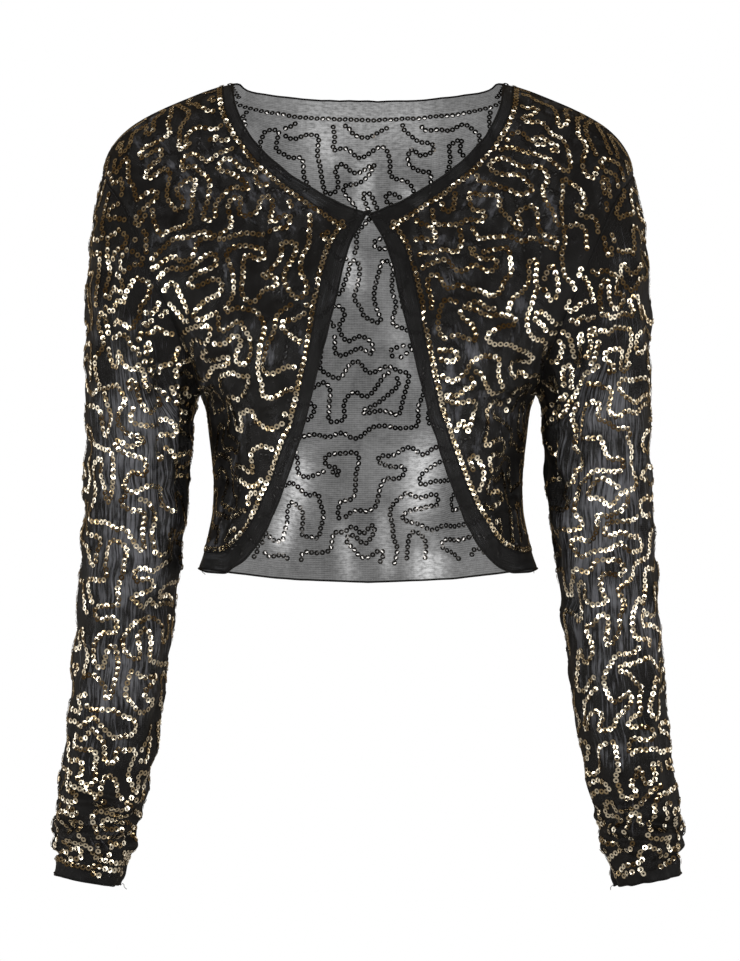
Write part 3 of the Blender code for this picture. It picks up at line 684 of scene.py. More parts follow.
def sleeve_strokes(side):
    """Folds of one sleeve as strokes that run round it in millimetres, each about its own middle."""
    strokes = []
    for from_angle, from_z, to_angle, to_z, half_width, depth in SLEEVE_FOLDS + FINE_SLEEVE_FOLDS[side]:
        half_turn = math.radians(to_angle - from_angle) / 2 * FOLD_REACH_RADIUS
        middle = math.radians((from_angle + to_angle) / 2)
        strokes.append((middle, (-half_turn, from_z, half_turn, to_z, half_width, depth)))
    return strokes


def sleeve_shape(side):
    """The folded surface of one sleeve, still drawn on the wearer's left."""
    strokes = sleeve_strokes(side)

    def surface(angle, along):
        points = sleeve_smooth(angle, along)
        height = np.zeros(points.shape[:-1])
        for middle, stroke in strokes:
            turned = (angle - middle + math.pi) % math.tau - math.pi
            height += stroke_height(turned * FOLD_REACH_RADIUS, points[..., 2], [stroke])
        height += pucker(angle * FOLD_REACH_RADIUS, points[..., 2], len(side), 1.0)
        height = height * ease(np.asarray(along) / CAP_FADE)
        normal = surface_normal(sleeve_smooth, angle, along, 1, low=0.0)
        points = points + normal * height[..., None]
        dropping = ease((np.asarray(along) - CUFF_DROP_STARTS) / 0.1)
        points[..., 2] -= CUFF_DROP * dropping * (1 - np.cos(angle)) / 2
        return points

    return surface


def sleeve_normal(surface, angle, along):
    return surface_normal(surface, angle, along, 1, low=0.0)


flip = {"left": np.array([1, 1, 1]), "right": np.array([-1, 1, 1])}
sleeve_surfaces = {side: sleeve_shape(side) for side in flip}
CUFF_SEAM = 1 + (CUFF_BAND_Z - BICEPS_Z) / (CUFF_EDGE_Z - BICEPS_Z)
SLEEVE_COLUMNS = 97
sleeve_angles = np.linspace(-math.pi, math.pi, SLEEVE_COLUMNS)
sleeve_alongs = np.concatenate([np.linspace(0, 1, 70), np.linspace(1, 1.75, 60)[1:],
                                np.linspace(1.75, CUFF_SEAM, 80)[1:]])
sleeves = {}
for side, mirror in flip.items():
    grid = np.meshgrid(sleeve_angles, sleeve_alongs)
    points = sleeve_surfaces[side](*grid) * mirror
    normals = sleeve_normal(sleeve_surfaces[side], *grid) * mirror
    # Front and back of each sleeve: more open net, and a painted sheen that lightens its colour.
    loose = np.sin(grid[0]) ** 2 * ease((grid[1] - 0.4) / 0.6) * ease((1.8 - grid[1]) / 0.4)
    sleeves[side] = cloth_object(f"sleeve_mesh_{side}", points, normals, sleeve_cloth, loose, wraps=True)

# Bands. The free edges at the neck, front, hem and cuffs are finished with folded strips of the same
# net without sequins, four layers thick and so nearly black, each turned over into a narrow roll.
band_cloth, tree, shader = new_material("folded_black_net", "0f0f10", gloss=0.15, roughness=0.6)
# The light colour is that of the painted sheen which knit_net mixes into the net.
knit_net(tree, shader, thin=0.95, thick=0.985, smoke=0.02, opened=0.08, light="3c3e43",
         grain=(0.1, 1.0, 1.0))
cuff_cloth, _, _ = new_material("turned_black_hem", "0d0d0e", gloss=0.15, roughness=0.6)
edge_cloth, _, _ = new_material("rolled_black_edge", "0b0b0c", gloss=0.2, roughness=0.6)


def rows_between(edge, seam, rows=5):
    """Grid of side and level between the two long lines of a band."""
    part = np.linspace(0, 1, rows)[:, None, None]
    return edge[None] * (1 - part) + seam[None] * part


def polyline_mesh(name, points, closed=False):
    """A line of edges through points in millimetres."""
    count = len(points)
    edges = [(at, at + 1) for at in range(count - 1)]
    if closed:
        edges.append((count - 1, 0))
    mesh = bpy.data.meshes.new(name)
    mesh.from_pydata((np.asarray(points) * MM).tolist(), edges, [])
    return mesh


def new_tree(name, inputs):
    """An empty Geometry Nodes tree with named inputs, and its two end nodes."""
    tree = bpy.data.node_groups.new(name, "GeometryNodeTree")
    tree.interface.new_socket("Geometry", in_out="INPUT", socket_type="NodeSocketGeometry")
    for label, kind in inputs.items():
        tree.interface.new_socket(label, in_out="INPUT", socket_type="NodeSocket" + kind)
    tree.interface.new_socket("Geometry", in_out="OUTPUT", socket_type="NodeSocketGeometry")
    return tree, add_node(tree, "NodeGroupInput").outputs, add_node(tree, "NodeGroupOutput").inputs[0]


def grow(name, mesh, tree, **values):
    """Runs a tree on a mesh and keeps what it makes as a plain object."""
    source = bpy.data.objects.new(name + "_source", mesh)
    bpy.context.collection.objects.link(source)
    modifier = source.modifiers.new("grow", "NODES")
    modifier.node_group = tree
    for socket in tree.interface.items_tree:
        if socket.in_out == "INPUT" and socket.name in values:
            modifier[socket.identifier] = values[socket.name]
    shown = source.evaluated_get(bpy.context.evaluated_depsgraph_get())
    made = bpy.data.meshes.new_from_object(shown)
    made.name = name
    bpy.data.objects.remove(source)
    item = bpy.data.objects.new(name, made)
    bpy.context.collection.objects.link(item)
    return item


roll_tree, given, result = new_tree("roll_edge", {
    "Thickness": "Float", "Sides": "Int", "Material": "Material"})
path = add_node(roll_tree, "GeometryNodeMeshToCurve", {"Mesh": given["Geometry"]})
radius = reckon(roll_tree, "MULTIPLY", given["Thickness"], 0.5)
ring = add_node(roll_tree, "GeometryNodeCurvePrimitiveCircle", {
    "Resolution": given["Sides"], "Radius": radius})
tube = add_node(roll_tree, "GeometryNodeCurveToMesh", {
    "Curve": path.outputs[0], "Profile Curve": ring.outputs[0], "Fill Caps": True})
plain = add_node(roll_tree, "GeometryNodeRealizeInstances", {"Geometry": tube.outputs[0]})
painted = add_node(roll_tree, "GeometryNodeSetMaterial", {
    "Geometry": plain.outputs[0], "Material": given["Material"]})
roll_tree.links.new(painted.outputs[0], result)


EDGE_ROLL, SEAM_ROLL, TACK_ROLL, THREAD_ROLL = 1.5, 1.1, 1.2, 0.5


def rolled_edge(name, points, thickness=EDGE_ROLL, closed=False):
    item = grow(name, polyline_mesh(name, points, closed), roll_tree,
                Thickness=thickness * MM, Sides=8, Material=edge_cloth)
    item.data.shade_smooth()
    return item


def on_torso(face, line):
    return torso(face, line[:, 0], line[:, 1])


BAND_LINES = {
    "back_neck_band": (BACK, mirrored_line(neck_edge), mirrored_line(neck_seam)),
    "back_hem_band": (BACK, mirrored_line(hem_edge), mirrored_line(hem_seam)),
    "neck_band_left": (FRONT, front_neck_edge, front_neck_seam),
    "neck_band_right": (FRONT, front_neck_edge * to_right, front_neck_seam * to_right),
    "front_band_left": (FRONT, front_edge, front_seam),
    "front_band_right": (FRONT, front_edge * to_right, front_seam * to_right),
}
bands, edges = {}, {}
for name, (face, edge, seam) in BAND_LINES.items():
    cloth = back_cloth if face == BACK else band_cloth
    bands[name] = torso_sheet(f"{name}_cloth", face, rows_between(edge, seam), cloth)
    edges[name] = rolled_edge(f"{name}_roll", on_torso(face, edge))
for side, mirror in flip.items():
    grid = np.meshgrid(sleeve_angles, np.linspace(CUFF_SEAM, 2, 4))
    surface = sleeve_surfaces[side]
    name = f"cuff_band_{side}"
    bands[name] = cloth_object(f"{name}_cloth", surface(*grid) * mirror,
                               sleeve_normal(surface, *grid) * mirror, cuff_cloth, 0, wraps=True)
    rim = surface(sleeve_angles[:-1], np.full(SLEEVE_COLUMNS - 1, 2.0)) * mirror
    edges[name] = rolled_edge(f"{name}_roll", rim, closed=True)

# Seams. The sleeves, shoulders and sides are joined by narrow overlocked seams, whose rolled
# allowances show as dark lines through the net, and the bands meet in a mitre at the closure.
MITRE_X, MITRE_Z = (1.6, 17.2), (-106.2, -114.7)
seams = {}
for side, mirror in flip.items():
    turn = np.array([mirror[0], 1])
    shoulder_line = shoulder * turn
    side_line = left_seam[left_seam[:, 1] <= 1] * turn
    mitre = find_on_torso(FRONT, np.linspace(*MITRE_X, 9), np.linspace(*MITRE_Z, 9)) * turn
    armhole_line = sleeve_surfaces[side](sleeve_angles[:-1], np.full(SLEEVE_COLUMNS - 1, 0.01))
    lines = {
        "armhole_seam": (armhole_line * mirror, True),
        "shoulder_seam": (on_torso(BACK, shoulder_line), False),
        "side_seam": (on_torso(BACK, side_line), False),
        "neck_mitre": (on_torso(FRONT, mitre), False),
        "front_band_seam": (on_torso(FRONT, front_seam * turn), False),
        "neck_band_seam": (on_torso(FRONT, front_neck_seam * turn), False),
    }
    for name, (points, closed) in lines.items():
        seams[f"{name}_{side}"] = rolled_edge(f"{name}_{side}", points, SEAM_ROLL, closed)
# Turns of thread tack the two corners over the hook.
CORNER_X, CORNER_Z = 1.6, -106.0
TACK_Z = (-104.2, -105.3, -106.4, -107.4)
TACK_REACH = 3.4
corner = find_on_torso(FRONT, np.array([CORNER_X]), np.array([CORNER_Z]))
tack_y = float(on_torso(FRONT, corner)[0, 1])
for index, z in enumerate(TACK_Z):
    run = np.linspace(-1, 1, 9)
    turn = np.stack([TACK_REACH * run, tack_y - 0.5 * (1 - run ** 2), z + 0.5 * run * (-1) ** index], -1)
    seams[f"closure_tack_{index}"] = rolled_edge(f"closure_tack_{index}", turn, TACK_ROLL)

# Loose ends. Short tips of overlock thread stick out where the sewer finished a seam.
LOOSE_ENDS = (
    # name, x, y, z, reach in x, reach in z
    ("thread_end_right_hem", -135, 0, -385, 4.5, -5.0),
    ("thread_end_left_hem", 135, 0, -385, -2.5, -4.0),
    ("thread_end_right_cuff", -196, -14, -636, 3.5, -4.5),
    ("thread_end_left_cuff", 196, -14, -636, -3.0, -5.0),
)
threads = []
for name, x, y, z, reach_x, reach_z in LOOSE_ENDS:
    run = np.linspace(0, 1, 9)
    curl = np.stack([x + reach_x * run + 0.6 * np.sin(run * 7), y + 0.5 * np.sin(run * 5),
                     z + reach_z * run ** 1.4], -1)
    threads.append(rolled_edge(name, curl, THREAD_ROLL))

# Sequins. Stamped plastic rings under 5 mm across, cupped, gold in front and dark behind, sewn to the
# outside in one wandering line that never crosses itself, and in straight rows beside the bands. The
# line runs round every branch of a random tree, which is drawn on each panel's flat cut.
BACK_GAP, FRONT_GAP, SLEEVE_GAP = 12.2, 10.4, 10.2
SEQUIN_DIAMETER, SEQUIN_PITCH, LEAST_APART = 4.7, 4.5, 4.9
FIELD_STEP = 2.0
KNOT_SHIFT = 5.5
WANDER = 2.2
ROUNDING = 2.2
SHORTEST_CHAIN = 26


def winding_field(width, height, gap, seed):
    """Above zero within half a gap of a random tree of twigs, so that the zero line winds round each
    twig and back, one gap away from itself, as a vermicelli stitch does."""
    chance = np.random.default_rng(seed)
    columns, rows = int(width / gap / 2) + 2, int(height / gap / 2) + 2
    knots = np.stack(np.meshgrid(np.arange(columns), np.arange(rows)), -1) * 2 * gap
    knots = knots + chance.uniform(-KNOT_SHIFT, KNOT_SHIFT, knots.shape)
    steps = [((row, column), (row, column + 1)) for row in range(rows) for column in range(columns - 1)]
    steps += [((row, column), (row + 1, column)) for row in range(rows - 1) for column in range(columns)]
    parent = {}

    def root(knot):
        while knot in parent:
            knot = parent[knot]
        return knot

    x, y = np.meshgrid(np.arange(0, width, FIELD_STEP), np.arange(0, height, FIELD_STEP))
    x, y = x + pucker(x, y, seed, WANDER), y + pucker(x, y, seed + 1, WANDER)
    away = np.full(x.shape, 1e9)
    for index in chance.permutation(len(steps)):
        start, end = steps[index]
        if root(start) == root(end):
            continue
        parent[root(start)] = root(end)
        (from_x, from_y), (run_x, run_y) = knots[start], knots[end] - knots[start]
        part = np.clip(((x - from_x) * run_x + (y - from_y) * run_y) / (run_x ** 2 + run_y ** 2), 0, 1)
        away = np.minimum(away, np.hypot(x - from_x - part * run_x, y - from_y - part * run_y))
    row_waves, column_waves = (np.fft.fftfreq(count, FIELD_STEP) for count in x.shape)
    wave = np.hypot(row_waves[:, None], column_waves)
    rounding = np.exp(-(wave * math.tau * ROUNDING) ** 2 / 2)
    return np.fft.ifft2(np.fft.fft2(gap / 2 - away) * rounding).real


def zero_lines(field):
    """Chains of column and row where the field changes sign, found square by square."""
    places, links = {}, {}

    def crossing(row, column, down):
        low, high = field[row, column], field[row + down, column + 1 - down]
        if (low > 0) == (high > 0):
            return None
        part = low / (low - high)
        places[row, column, down] = (column + part * (1 - down), row + part * down)
        return row, column, down

    above = field > 0
    mixed = (above[:-1, :-1] != above[1:, 1:]) | (above[:-1, 1:] != above[1:, :-1])
    mixed |= above[:-1, :-1] != above[:-1, 1:]
    for row, column in np.argwhere(mixed).tolist():
        sides = [crossing(row, column, 0), crossing(row, column + 1, 1),
                 crossing(row + 1, column, 0), crossing(row, column, 1)]
        met = [side for side in sides if side]
        for a, b in zip(met[::2], met[1::2]):
            links.setdefault(a, []).append(b)
            links.setdefault(b, []).append(a)
    chains, used = [], set()
    for start in sorted(links, key=lambda place: len(links[place])):
        chain, here = [], start
        while here is not None and here not in used:
            used.add(here)
            chain.append(places[here])
            here = next((near for near in links[here] if near not in used), None)
        if len(chain) > SHORTEST_CHAIN:
            chains.append(np.array(chain) * FIELD_STEP)
    return chains


def inside(points, outline):
    """Which points of side and level lie within a closed outline."""
    within = np.zeros(len(points), bool)
    for (ax, ay), (bx, by) in zip(outline, np.roll(outline, -1, 0)):
        if ay == by:
            continue
        crossed = (points[:, 1] > ay) != (points[:, 1] > by)
        within ^= crossed & (points[:, 0] < ax + (points[:, 1] - ay) * (bx - ax) / (by - ay))
    return within


def nearest_gap(points, others):
    """Distance from each point to the nearest of the others."""
    tree = mathutils.kdtree.KDTree(len(others))
    for index, other in enumerate(others):
        tree.insert(other, index)
    tree.balance()
    return np.array([tree.find(point)[2] for point in points])


def spaced(line, surface):
    """Places at the sequins' pitch along a line that lies on a surface, with a heading at each."""
    points = surface(line)
    runs = np.concatenate([[0], np.cumsum(np.linalg.norm(np.diff(points, axis=0), axis=1))])
    count = max(int(runs[-1] / SEQUIN_PITCH), 2)
    stops = np.linspace(0, runs[-1], count)
    found = np.stack([np.interp(stops, runs, line[:, axis]) for axis in range(2)], -1)
    heading = np.stack([np.interp(stops, runs, np.gradient(points[:, axis])) for axis in range(3)], -1)
    return found, heading


TORSO_LEVELS = 120


def torso_unrolled(face):
    """Turns places on the flat cut, in millimetres from the middle of the hem, to side and level."""
    levels, sides = np.linspace(LOWEST_LEVEL, 2, TORSO_LEVELS), np.linspace(0, 1, 60)
    grid = torso_smooth(face, *np.meshgrid(sides, levels))
    across = np.linalg.norm(np.diff(grid, axis=1), axis=-1)
    across = np.concatenate([np.zeros((TORSO_LEVELS, 1)), np.cumsum(across, 1)], 1)
    up = np.linalg.norm(np.diff(grid, axis=0), axis=-1)[:, 5:50].mean(1)
    up = np.concatenate([[0], np.cumsum(up)])

    def place(flat):
        level = np.interp(flat[:, 1], up, levels)
        row = np.clip(np.searchsorted(levels, level) - 1, 0, TORSO_LEVELS - 2)
        part = (level - levels[row]) / (levels[1] - levels[0])
        side = [np.interp(abs(a), across[r] * (1 - f) + across[r + 1] * f, sides)
                for a, r, f in zip(flat[:, 0], row, part)]
        return np.stack([np.array(side) * np.where(flat[:, 0] < 0, -1, 1), level], -1)

    return place


CAP_STEPS = 80
RUCHE_STARTS, RUCHE_FULL, RUCHE_TAKES_UP = 1.72, 1.84, 1.9


def sleeve_unrolled():
    """The same for a sleeve: millimetres round from its outer line, and down from the cap's top. The
    ruche takes up more cloth than its own length."""
    angles, alongs = np.linspace(-math.pi, math.pi, 61), np.linspace(0, 2, 2 * CAP_STEPS + 1)
    grid = sleeve_smooth(*np.meshgrid(angles, alongs))
    round_it = np.linalg.norm(np.diff(grid, axis=1), axis=-1).sum(1)
    drops = np.linalg.norm(np.diff(grid, axis=0), axis=-1)
    cap = drops[:CAP_STEPS].sum(0)
    gathered = np.interp(alongs[CAP_STEPS + 1:], (RUCHE_STARTS, RUCHE_FULL), (1.0, RUCHE_TAKES_UP))
    below = np.concatenate([[0], np.cumsum(drops[CAP_STEPS:].mean(1) * gathered)])

    def place(flat):
        down = flat[:, 1] - cap.max()
        along = np.interp(down, below, alongs[CAP_STEPS:])
        for _ in range(4):
            angle = flat[:, 0] * math.tau / np.interp(along, alongs, round_it)
            along = np.where(down < 0, 1 + down / np.interp(angle, angles, cap), along)
        return np.stack([angle, along], -1)

    return place


def apart(points, lines, sewn):
    """Which points stay, where none may touch one sewn before it except its neighbours in line."""
    cells, stays = {}, np.zeros(len(points), bool)
    for index, point in enumerate(np.concatenate([sewn, points]), -len(sewn)):
        line = lines[index] if index >= 0 else None
        x, y, z = np.floor(point / LEAST_APART).astype(int)
        if index >= 0:
            near = [sewn_one for a, b, c in np.ndindex(3, 3, 3)
                    for sewn_one in cells.get((x + a, y + b, z + c), ())]
            if any(np.linalg.norm(point - other) < LEAST_APART and (other_line != line or index - at > 3)
                   for other, other_line, at in near):
                continue
            stays[index] = True
        cells.setdefault((x + 1, y + 1, z + 1), []).append((point, line, index))
    return stays


def meander(unroll, surface, cut, gap, seed, keep, border, clear, sewn):
    """The wandering line on one panel, whose cut is a width and a height: places and headings, kept
    clear of the border and of what is sewn already."""
    places, headings, lines = [], [], []
    width, height = cut
    for number, chain in enumerate(zero_lines(winding_field(width, height, gap, seed))):
        line = unroll(chain - np.array([width / 2, 0]))
        found, heading = spaced(line, surface)
        kept = keep(found)
        kept[kept] = nearest_gap(surface(found[kept]), border) > clear
        places.append(found[kept])
        headings.append(heading[kept])
        lines += [number] * int(kept.sum())
    places, headings = np.concatenate(places), np.concatenate(headings)
    stays = apart(surface(places), lines, sewn)
    return places[stays], headings[stays]


ROW_OFFSET = 2.8


def border_row(face, line):
    """Sequins in a row just inside a seam: points, normals and headings."""
    found, heading = spaced(line, lambda places: on_torso(face, places))
    points = on_torso(face, found)
    normals = torso_normal(face, found[:, 0], found[:, 1], torso)
    aside = unit(np.cross(heading, normals))
    middle_side = 0.0 if face == BACK else 0.55 * np.sign(found[:, 0].sum())
    middle = torso_smooth(face, np.array([middle_side]), np.array([1.0]))
    aside *= np.where(np.sum(aside * (middle - points), -1, keepdims=True) < 0, -1, 1)
    return points + aside * ROW_OFFSET, normals, heading


# Each circle of a ring is its radius, the height of its top and the height of its underside.
RIM = (2.05, 0.24, 0.16)
HOLE = (0.88, 0.10, 0.0)
BACK_HOLE = (0.64, 0.06, 0.0)
RING_SIDES = 8


def make_sequin(name, hole):
    """One cupped ring of film, scaled to a metre across."""
    turns = np.arange(RING_SIDES) * math.tau / RING_SIDES
    scale = 1 / (2 * RIM[0])
    vertices = []
    for radius, top, below in (hole, RIM):
        for height in (top, below):
            vertices += [(radius * math.cos(t) * scale, radius * math.sin(t) * scale, height * scale)
                         for t in turns]
    faces, reverse = [], []
    for at in range(RING_SIDES):
        on = (at + 1) % RING_SIDES
        hole_top, hole_low, rim_top, rim_low = (RING_SIDES * part for part in range(4))
        faces.append((hole_top + at, rim_top + at, rim_top + on, hole_top + on))
        faces.append((rim_top + at, rim_low + at, rim_low + on, rim_top + on))
        faces.append((hole_low + on, rim_low + on, rim_low + at, hole_low + at))
        reverse += [False, False, True]
    mesh = bpy.data.meshes.new(name)
    mesh.from_pydata(vertices, [], faces)
    mesh.attributes.new("reverse", "BOOLEAN", "FACE").data.foreach_set("value", reverse)
    mesh.shade_smooth()
    mesh.set_sharp_from_angle(angle=math.radians(40))
    item = bpy.data.objects.new(name, mesh)
    bpy.context.collection.objects.link(item)
    return item


# Gold film on plastic: a mirror-like foil, yellower on some rings than on others, with a fine orange
# peel that breaks up its reflections. Behind, plain bright film mirrors the dark inside of the shrug
# and so looks black, with a glint here and there.
gold_foil, tree, shader = new_material(
    "gold_sequin_foil", "cdb078", metallic=1.0, coat_weight=0.6, coat_roughness=0.1)
tint = add_node(tree, "ShaderNodeAttribute", attribute_name="tint").outputs["Fac"]
golds = add_node(tree, "ShaderNodeValToRGB", {"Fac": tint})
golds.color_ramp.elements[0].color = linear("94805c")
golds.color_ramp.elements[1].color = linear("f3ecd9")
tree.links.new(golds.outputs["Color"], shader.inputs["Base Color"])
tree.links.new(stretch(tree, tint, 0.1, 0.22), shader.inputs["Roughness"])
own = add_node(tree, "ShaderNodeTexCoord").outputs["Object"]
peel = add_node(tree, "ShaderNodeTexNoise", {"Vector": own, "Scale": 900.0, "Detail": 1.0})
roughened(tree, shader, peel.outputs["Fac"], 0.3, 0.0004)
black_back, _, _ = new_material("black_sequin_back", "b2aeaa", metallic=1.0, roughness=0.14)

sew_tree, given, result = new_tree("sew_sequins", {
    "Sequin": "Object", "Diameter": "Float", "Lift": "Float", "Tilt": "Vector", "Seed": "Int",
    "Sway": "Float", "Sway Scale": "Float", "Shingle": "Float", "Foil": "Material", "Reverse": "Material",
})


def sewing(kind, inputs=(), output=0, **settings):
    """One step of the tree that sews sequins."""
    return add_node(sew_tree, kind, inputs, **settings).outputs[output]


def scaled(vector, amount):
    return sewing("ShaderNodeVectorMath", {0: vector, "Scale": amount}, operation="SCALE")


facing, heading = (sewing("GeometryNodeInputNamedAttribute", {"Name": name}, data_type="FLOAT_VECTOR")
                   for name in ("facing", "heading"))
raised = sewing("GeometryNodeSetPosition", {
    "Geometry": given["Geometry"], "Offset": scaled(facing, given["Lift"])})
drift = sewing("ShaderNodeTexNoise", {
    "Vector": sewing("GeometryNodeInputPosition"), "Scale": given["Sway Scale"], "Detail": 1.0}, "Color")
centred = sewing("ShaderNodeVectorMath", {0: drift, 1: (0.5, 0.5, 0.5)}, operation="SUBTRACT")
leant = sewing("ShaderNodeVectorMath", {
    0: scaled(centred, given["Sway"]), 1: scaled(heading, given["Shingle"])})
swayed = sewing("ShaderNodeVectorMath", {0: facing, 1: leant})
upright = sewing("FunctionNodeAlignRotationToVector", {"Vector": swayed}, axis="Z")
turned = sewing("FunctionNodeAlignRotationToVector", {"Rotation": upright, "Vector": heading},
                axis="X", pivot_axis="Z")
lean = sewing("FunctionNodeRandomValue", {
    0: scaled(given["Tilt"], -1.0), 1: given["Tilt"], "Seed": given["Seed"]}, data_type="FLOAT_VECTOR")
leaning = sewing("FunctionNodeEulerToRotation", {0: lean})
set_down = sewing("FunctionNodeRotateRotation", {"Rotation": turned, "Rotate By": leaning},
                  rotation_space="LOCAL")
ring = sewing("GeometryNodeObjectInfo", {"Object": given["Sequin"]}, "Geometry")
placed = sewing("GeometryNodeInstanceOnPoints", {
    "Points": raised, "Instance": ring, "Rotation": set_down, "Scale": given["Diameter"]})
shade = sewing("FunctionNodeRandomValue", {"Seed": given["Seed"]}, 1, data_type="FLOAT")
marked = sewing("GeometryNodeStoreNamedAttribute", {"Geometry": placed, "Name": "tint", "Value": shade},
                data_type="FLOAT", domain="INSTANCE")
joined = sewing("GeometryNodeRealizeInstances", {"Geometry": marked})
gilded = sewing("GeometryNodeSetMaterial", {"Geometry": joined, "Material": given["Foil"]})
is_back = sewing("GeometryNodeInputNamedAttribute", {"Name": "reverse"}, data_type="BOOLEAN")
backed = sewing("GeometryNodeSetMaterial", {
    "Geometry": gilded, "Selection": is_back, "Material": given["Reverse"]})
sew_tree.links.new(backed, result)

sequin, back_sequin = make_sequin("one_sequin", HOLE), make_sequin("one_back_sequin", BACK_HOLE)


SWAY_SCALE = 34.0


def sew_on(name, thing, points, normals, headings, seed, **values):
    """Sets the points and their directions as attributes and lets the tree sew a thing on each."""
    mesh = bpy.data.meshes.new(name + "_places")
    mesh.from_pydata((points * MM).tolist(), [], [])
    for label, vectors in (("facing", normals), ("heading", unit(headings))):
        attribute = mesh.attributes.new(label, "FLOAT_VECTOR", "POINT")
        attribute.data.foreach_set("vector", np.ascontiguousarray(vectors, float).ravel())
    values["Sway Scale"] = SWAY_SCALE
    return grow(name, mesh, sew_tree, Sequin=thing, Seed=seed, **values)


def sew_sequins(name, points, normals, headings, seed, ring=sequin):
    return sew_on(name, ring, points, normals, headings, seed, Diameter=SEQUIN_DIAMETER * MM,
                  Lift=0.35 * MM, Tilt=(0.05, 0.05, 0.4), Foil=gold_foil, Reverse=black_back,
                  Sway=0.22, Shingle=0.06)


TORSO_CUT, TORSO_CLEAR = (560, 490), 3.0
SLEEVE_CUT, SLEEVE_CLEAR = (480, 680), 2.2


def torso_places(face, outline, rows, seed):
    """Where one body panel's sequins go: its wandering line, then the rows beside its bands."""
    surface = lambda places: on_torso(face, places)
    straight = [border_row(face, row) for row in rows]
    sewn = np.concatenate([points for points, _, _ in straight])
    found, heading = meander(
        torso_unrolled(face), surface, TORSO_CUT, BACK_GAP if face == BACK else FRONT_GAP, seed,
        lambda places: inside(places, outline), surface(outline), TORSO_CLEAR, sewn)
    normals = torso_normal(face, found[:, 0], found[:, 1], torso)
    parts = [(surface(found), normals, heading)] + straight
    return [np.concatenate(column) for column in zip(*parts)]


def around(grid):
    """The closed border of a grid of side and level."""
    return np.concatenate([grid[0], grid[1:, -1], grid[-1, ::-1][1:], grid[::-1, 0][1:-1]])


back_places = torso_places(BACK, around(back_grid), [mirrored_line(neck_seam)], 3)
sequins = {"back_panel": sew_sequins("back_sequins", *back_places, 3, back_sequin)}
for side, seed in (("left", 5), ("right", 11)):
    turn = flip[side][:2]
    rows = [front_neck_seam * turn, front_seam * turn]
    places = torso_places(FRONT, around(front_grid * turn), rows, seed)
    sequins[f"front_panel_{side}"] = sew_sequins(f"front_sequins_{side}", *places, seed)
FIRST_ROW, LAST_ROW, LAST_LINE = 0.01, CUFF_SEAM + 0.006, CUFF_SEAM + 0.008


def on_sleeve_cut(places):
    """Which places of angle and along lie on the sleeve's own cut, between armhole and cuff."""
    angle, along = places[:, 0], places[:, 1]
    return (np.abs(angle) < math.pi) & (along > FIRST_ROW) & (along < LAST_ROW)


for side, seed in (("left", 21), ("right", 34)):
    surface = sleeve_surfaces[side]
    on_sleeve = lambda places: surface(places[:, 0], places[:, 1])
    rim, run = np.linspace(-math.pi, math.pi, 200), np.linspace(0, CUFF_SEAM, 300)
    limits = on_sleeve(np.concatenate([
        np.stack([rim, np.zeros_like(rim)], -1),
        np.stack([rim, np.full_like(rim, LAST_LINE)], -1),
        np.stack([np.full_like(run, math.pi), run], -1),
    ]))
    found, heading = meander(sleeve_unrolled(), on_sleeve, SLEEVE_CUT, SLEEVE_GAP, seed, on_sleeve_cut,
                             limits, SLEEVE_CLEAR, np.zeros((0, 3)))
    normals = sleeve_normal(surface, found[:, 0], found[:, 1])
    sequins[f"sleeve_{side}"] = sew_sequins(
        f"sleeve_sequins_{side}", on_sleeve(found) * flip[side], normals * flip[side],
        heading * flip[side], seed)
for pattern in (sequin, back_sequin):
    bpy.data.objects.remove(pattern)

# Stitches. Clear nylon thread holds the sequins, and glints here and there on the wrong side of the
# back, which shows through the neck and between the fronts. Its emission is a painted glow, standing in
# for the light of the white ground carried through the clear thread.
painted_glow_thread, _, _ = new_material("clear_nylon_thread_painted_glow", "f6f4f0", roughness=0.3,
                                  emission_strength=0.75, emission_color=linear("f6f4f0"))
bpy.ops.mesh.primitive_uv_sphere_add(segments=8, ring_count=5, radius=1.0)
one_stitch = bpy.context.object
one_stitch.data.transform(mathutils.Matrix.Diagonal((1.35, 0.5, 0.4, 1.0)))
one_stitch.data.shade_smooth()
places, facing, heading = back_places
drift = pucker(places[:, 0], places[:, 2], 40, 1.0)
shown = drift + np.random.default_rng(41).uniform(-0.9, 0.9, len(places)) > 0.75
stitches = sew_on("back_stitches", one_stitch, places[shown], facing[shown], heading[shown], 42,
                  Diameter=1.0 * MM, Lift=-0.5 * MM, Tilt=(0.1, 0.1, 0.9), Foil=painted_glow_thread,
                  Reverse=painted_glow_thread, Sway=0.1, Shingle=0.0)
bpy.data.objects.remove(one_stitch)

# Closure. A black wire hook on the wearer's right catches a wire eye on the left, behind the corner
# where the neck and front bands meet. Both are the solids of the part itself, in painted metal.
hook_metal, _, _ = new_material("black_painted_wire", "1b1b1c", roughness=0.32, metallic=1.0)
for name in ("hook", "eye"):
    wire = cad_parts[name]
    wire.data.materials.clear()
    wire.data.materials.append(hook_metal)

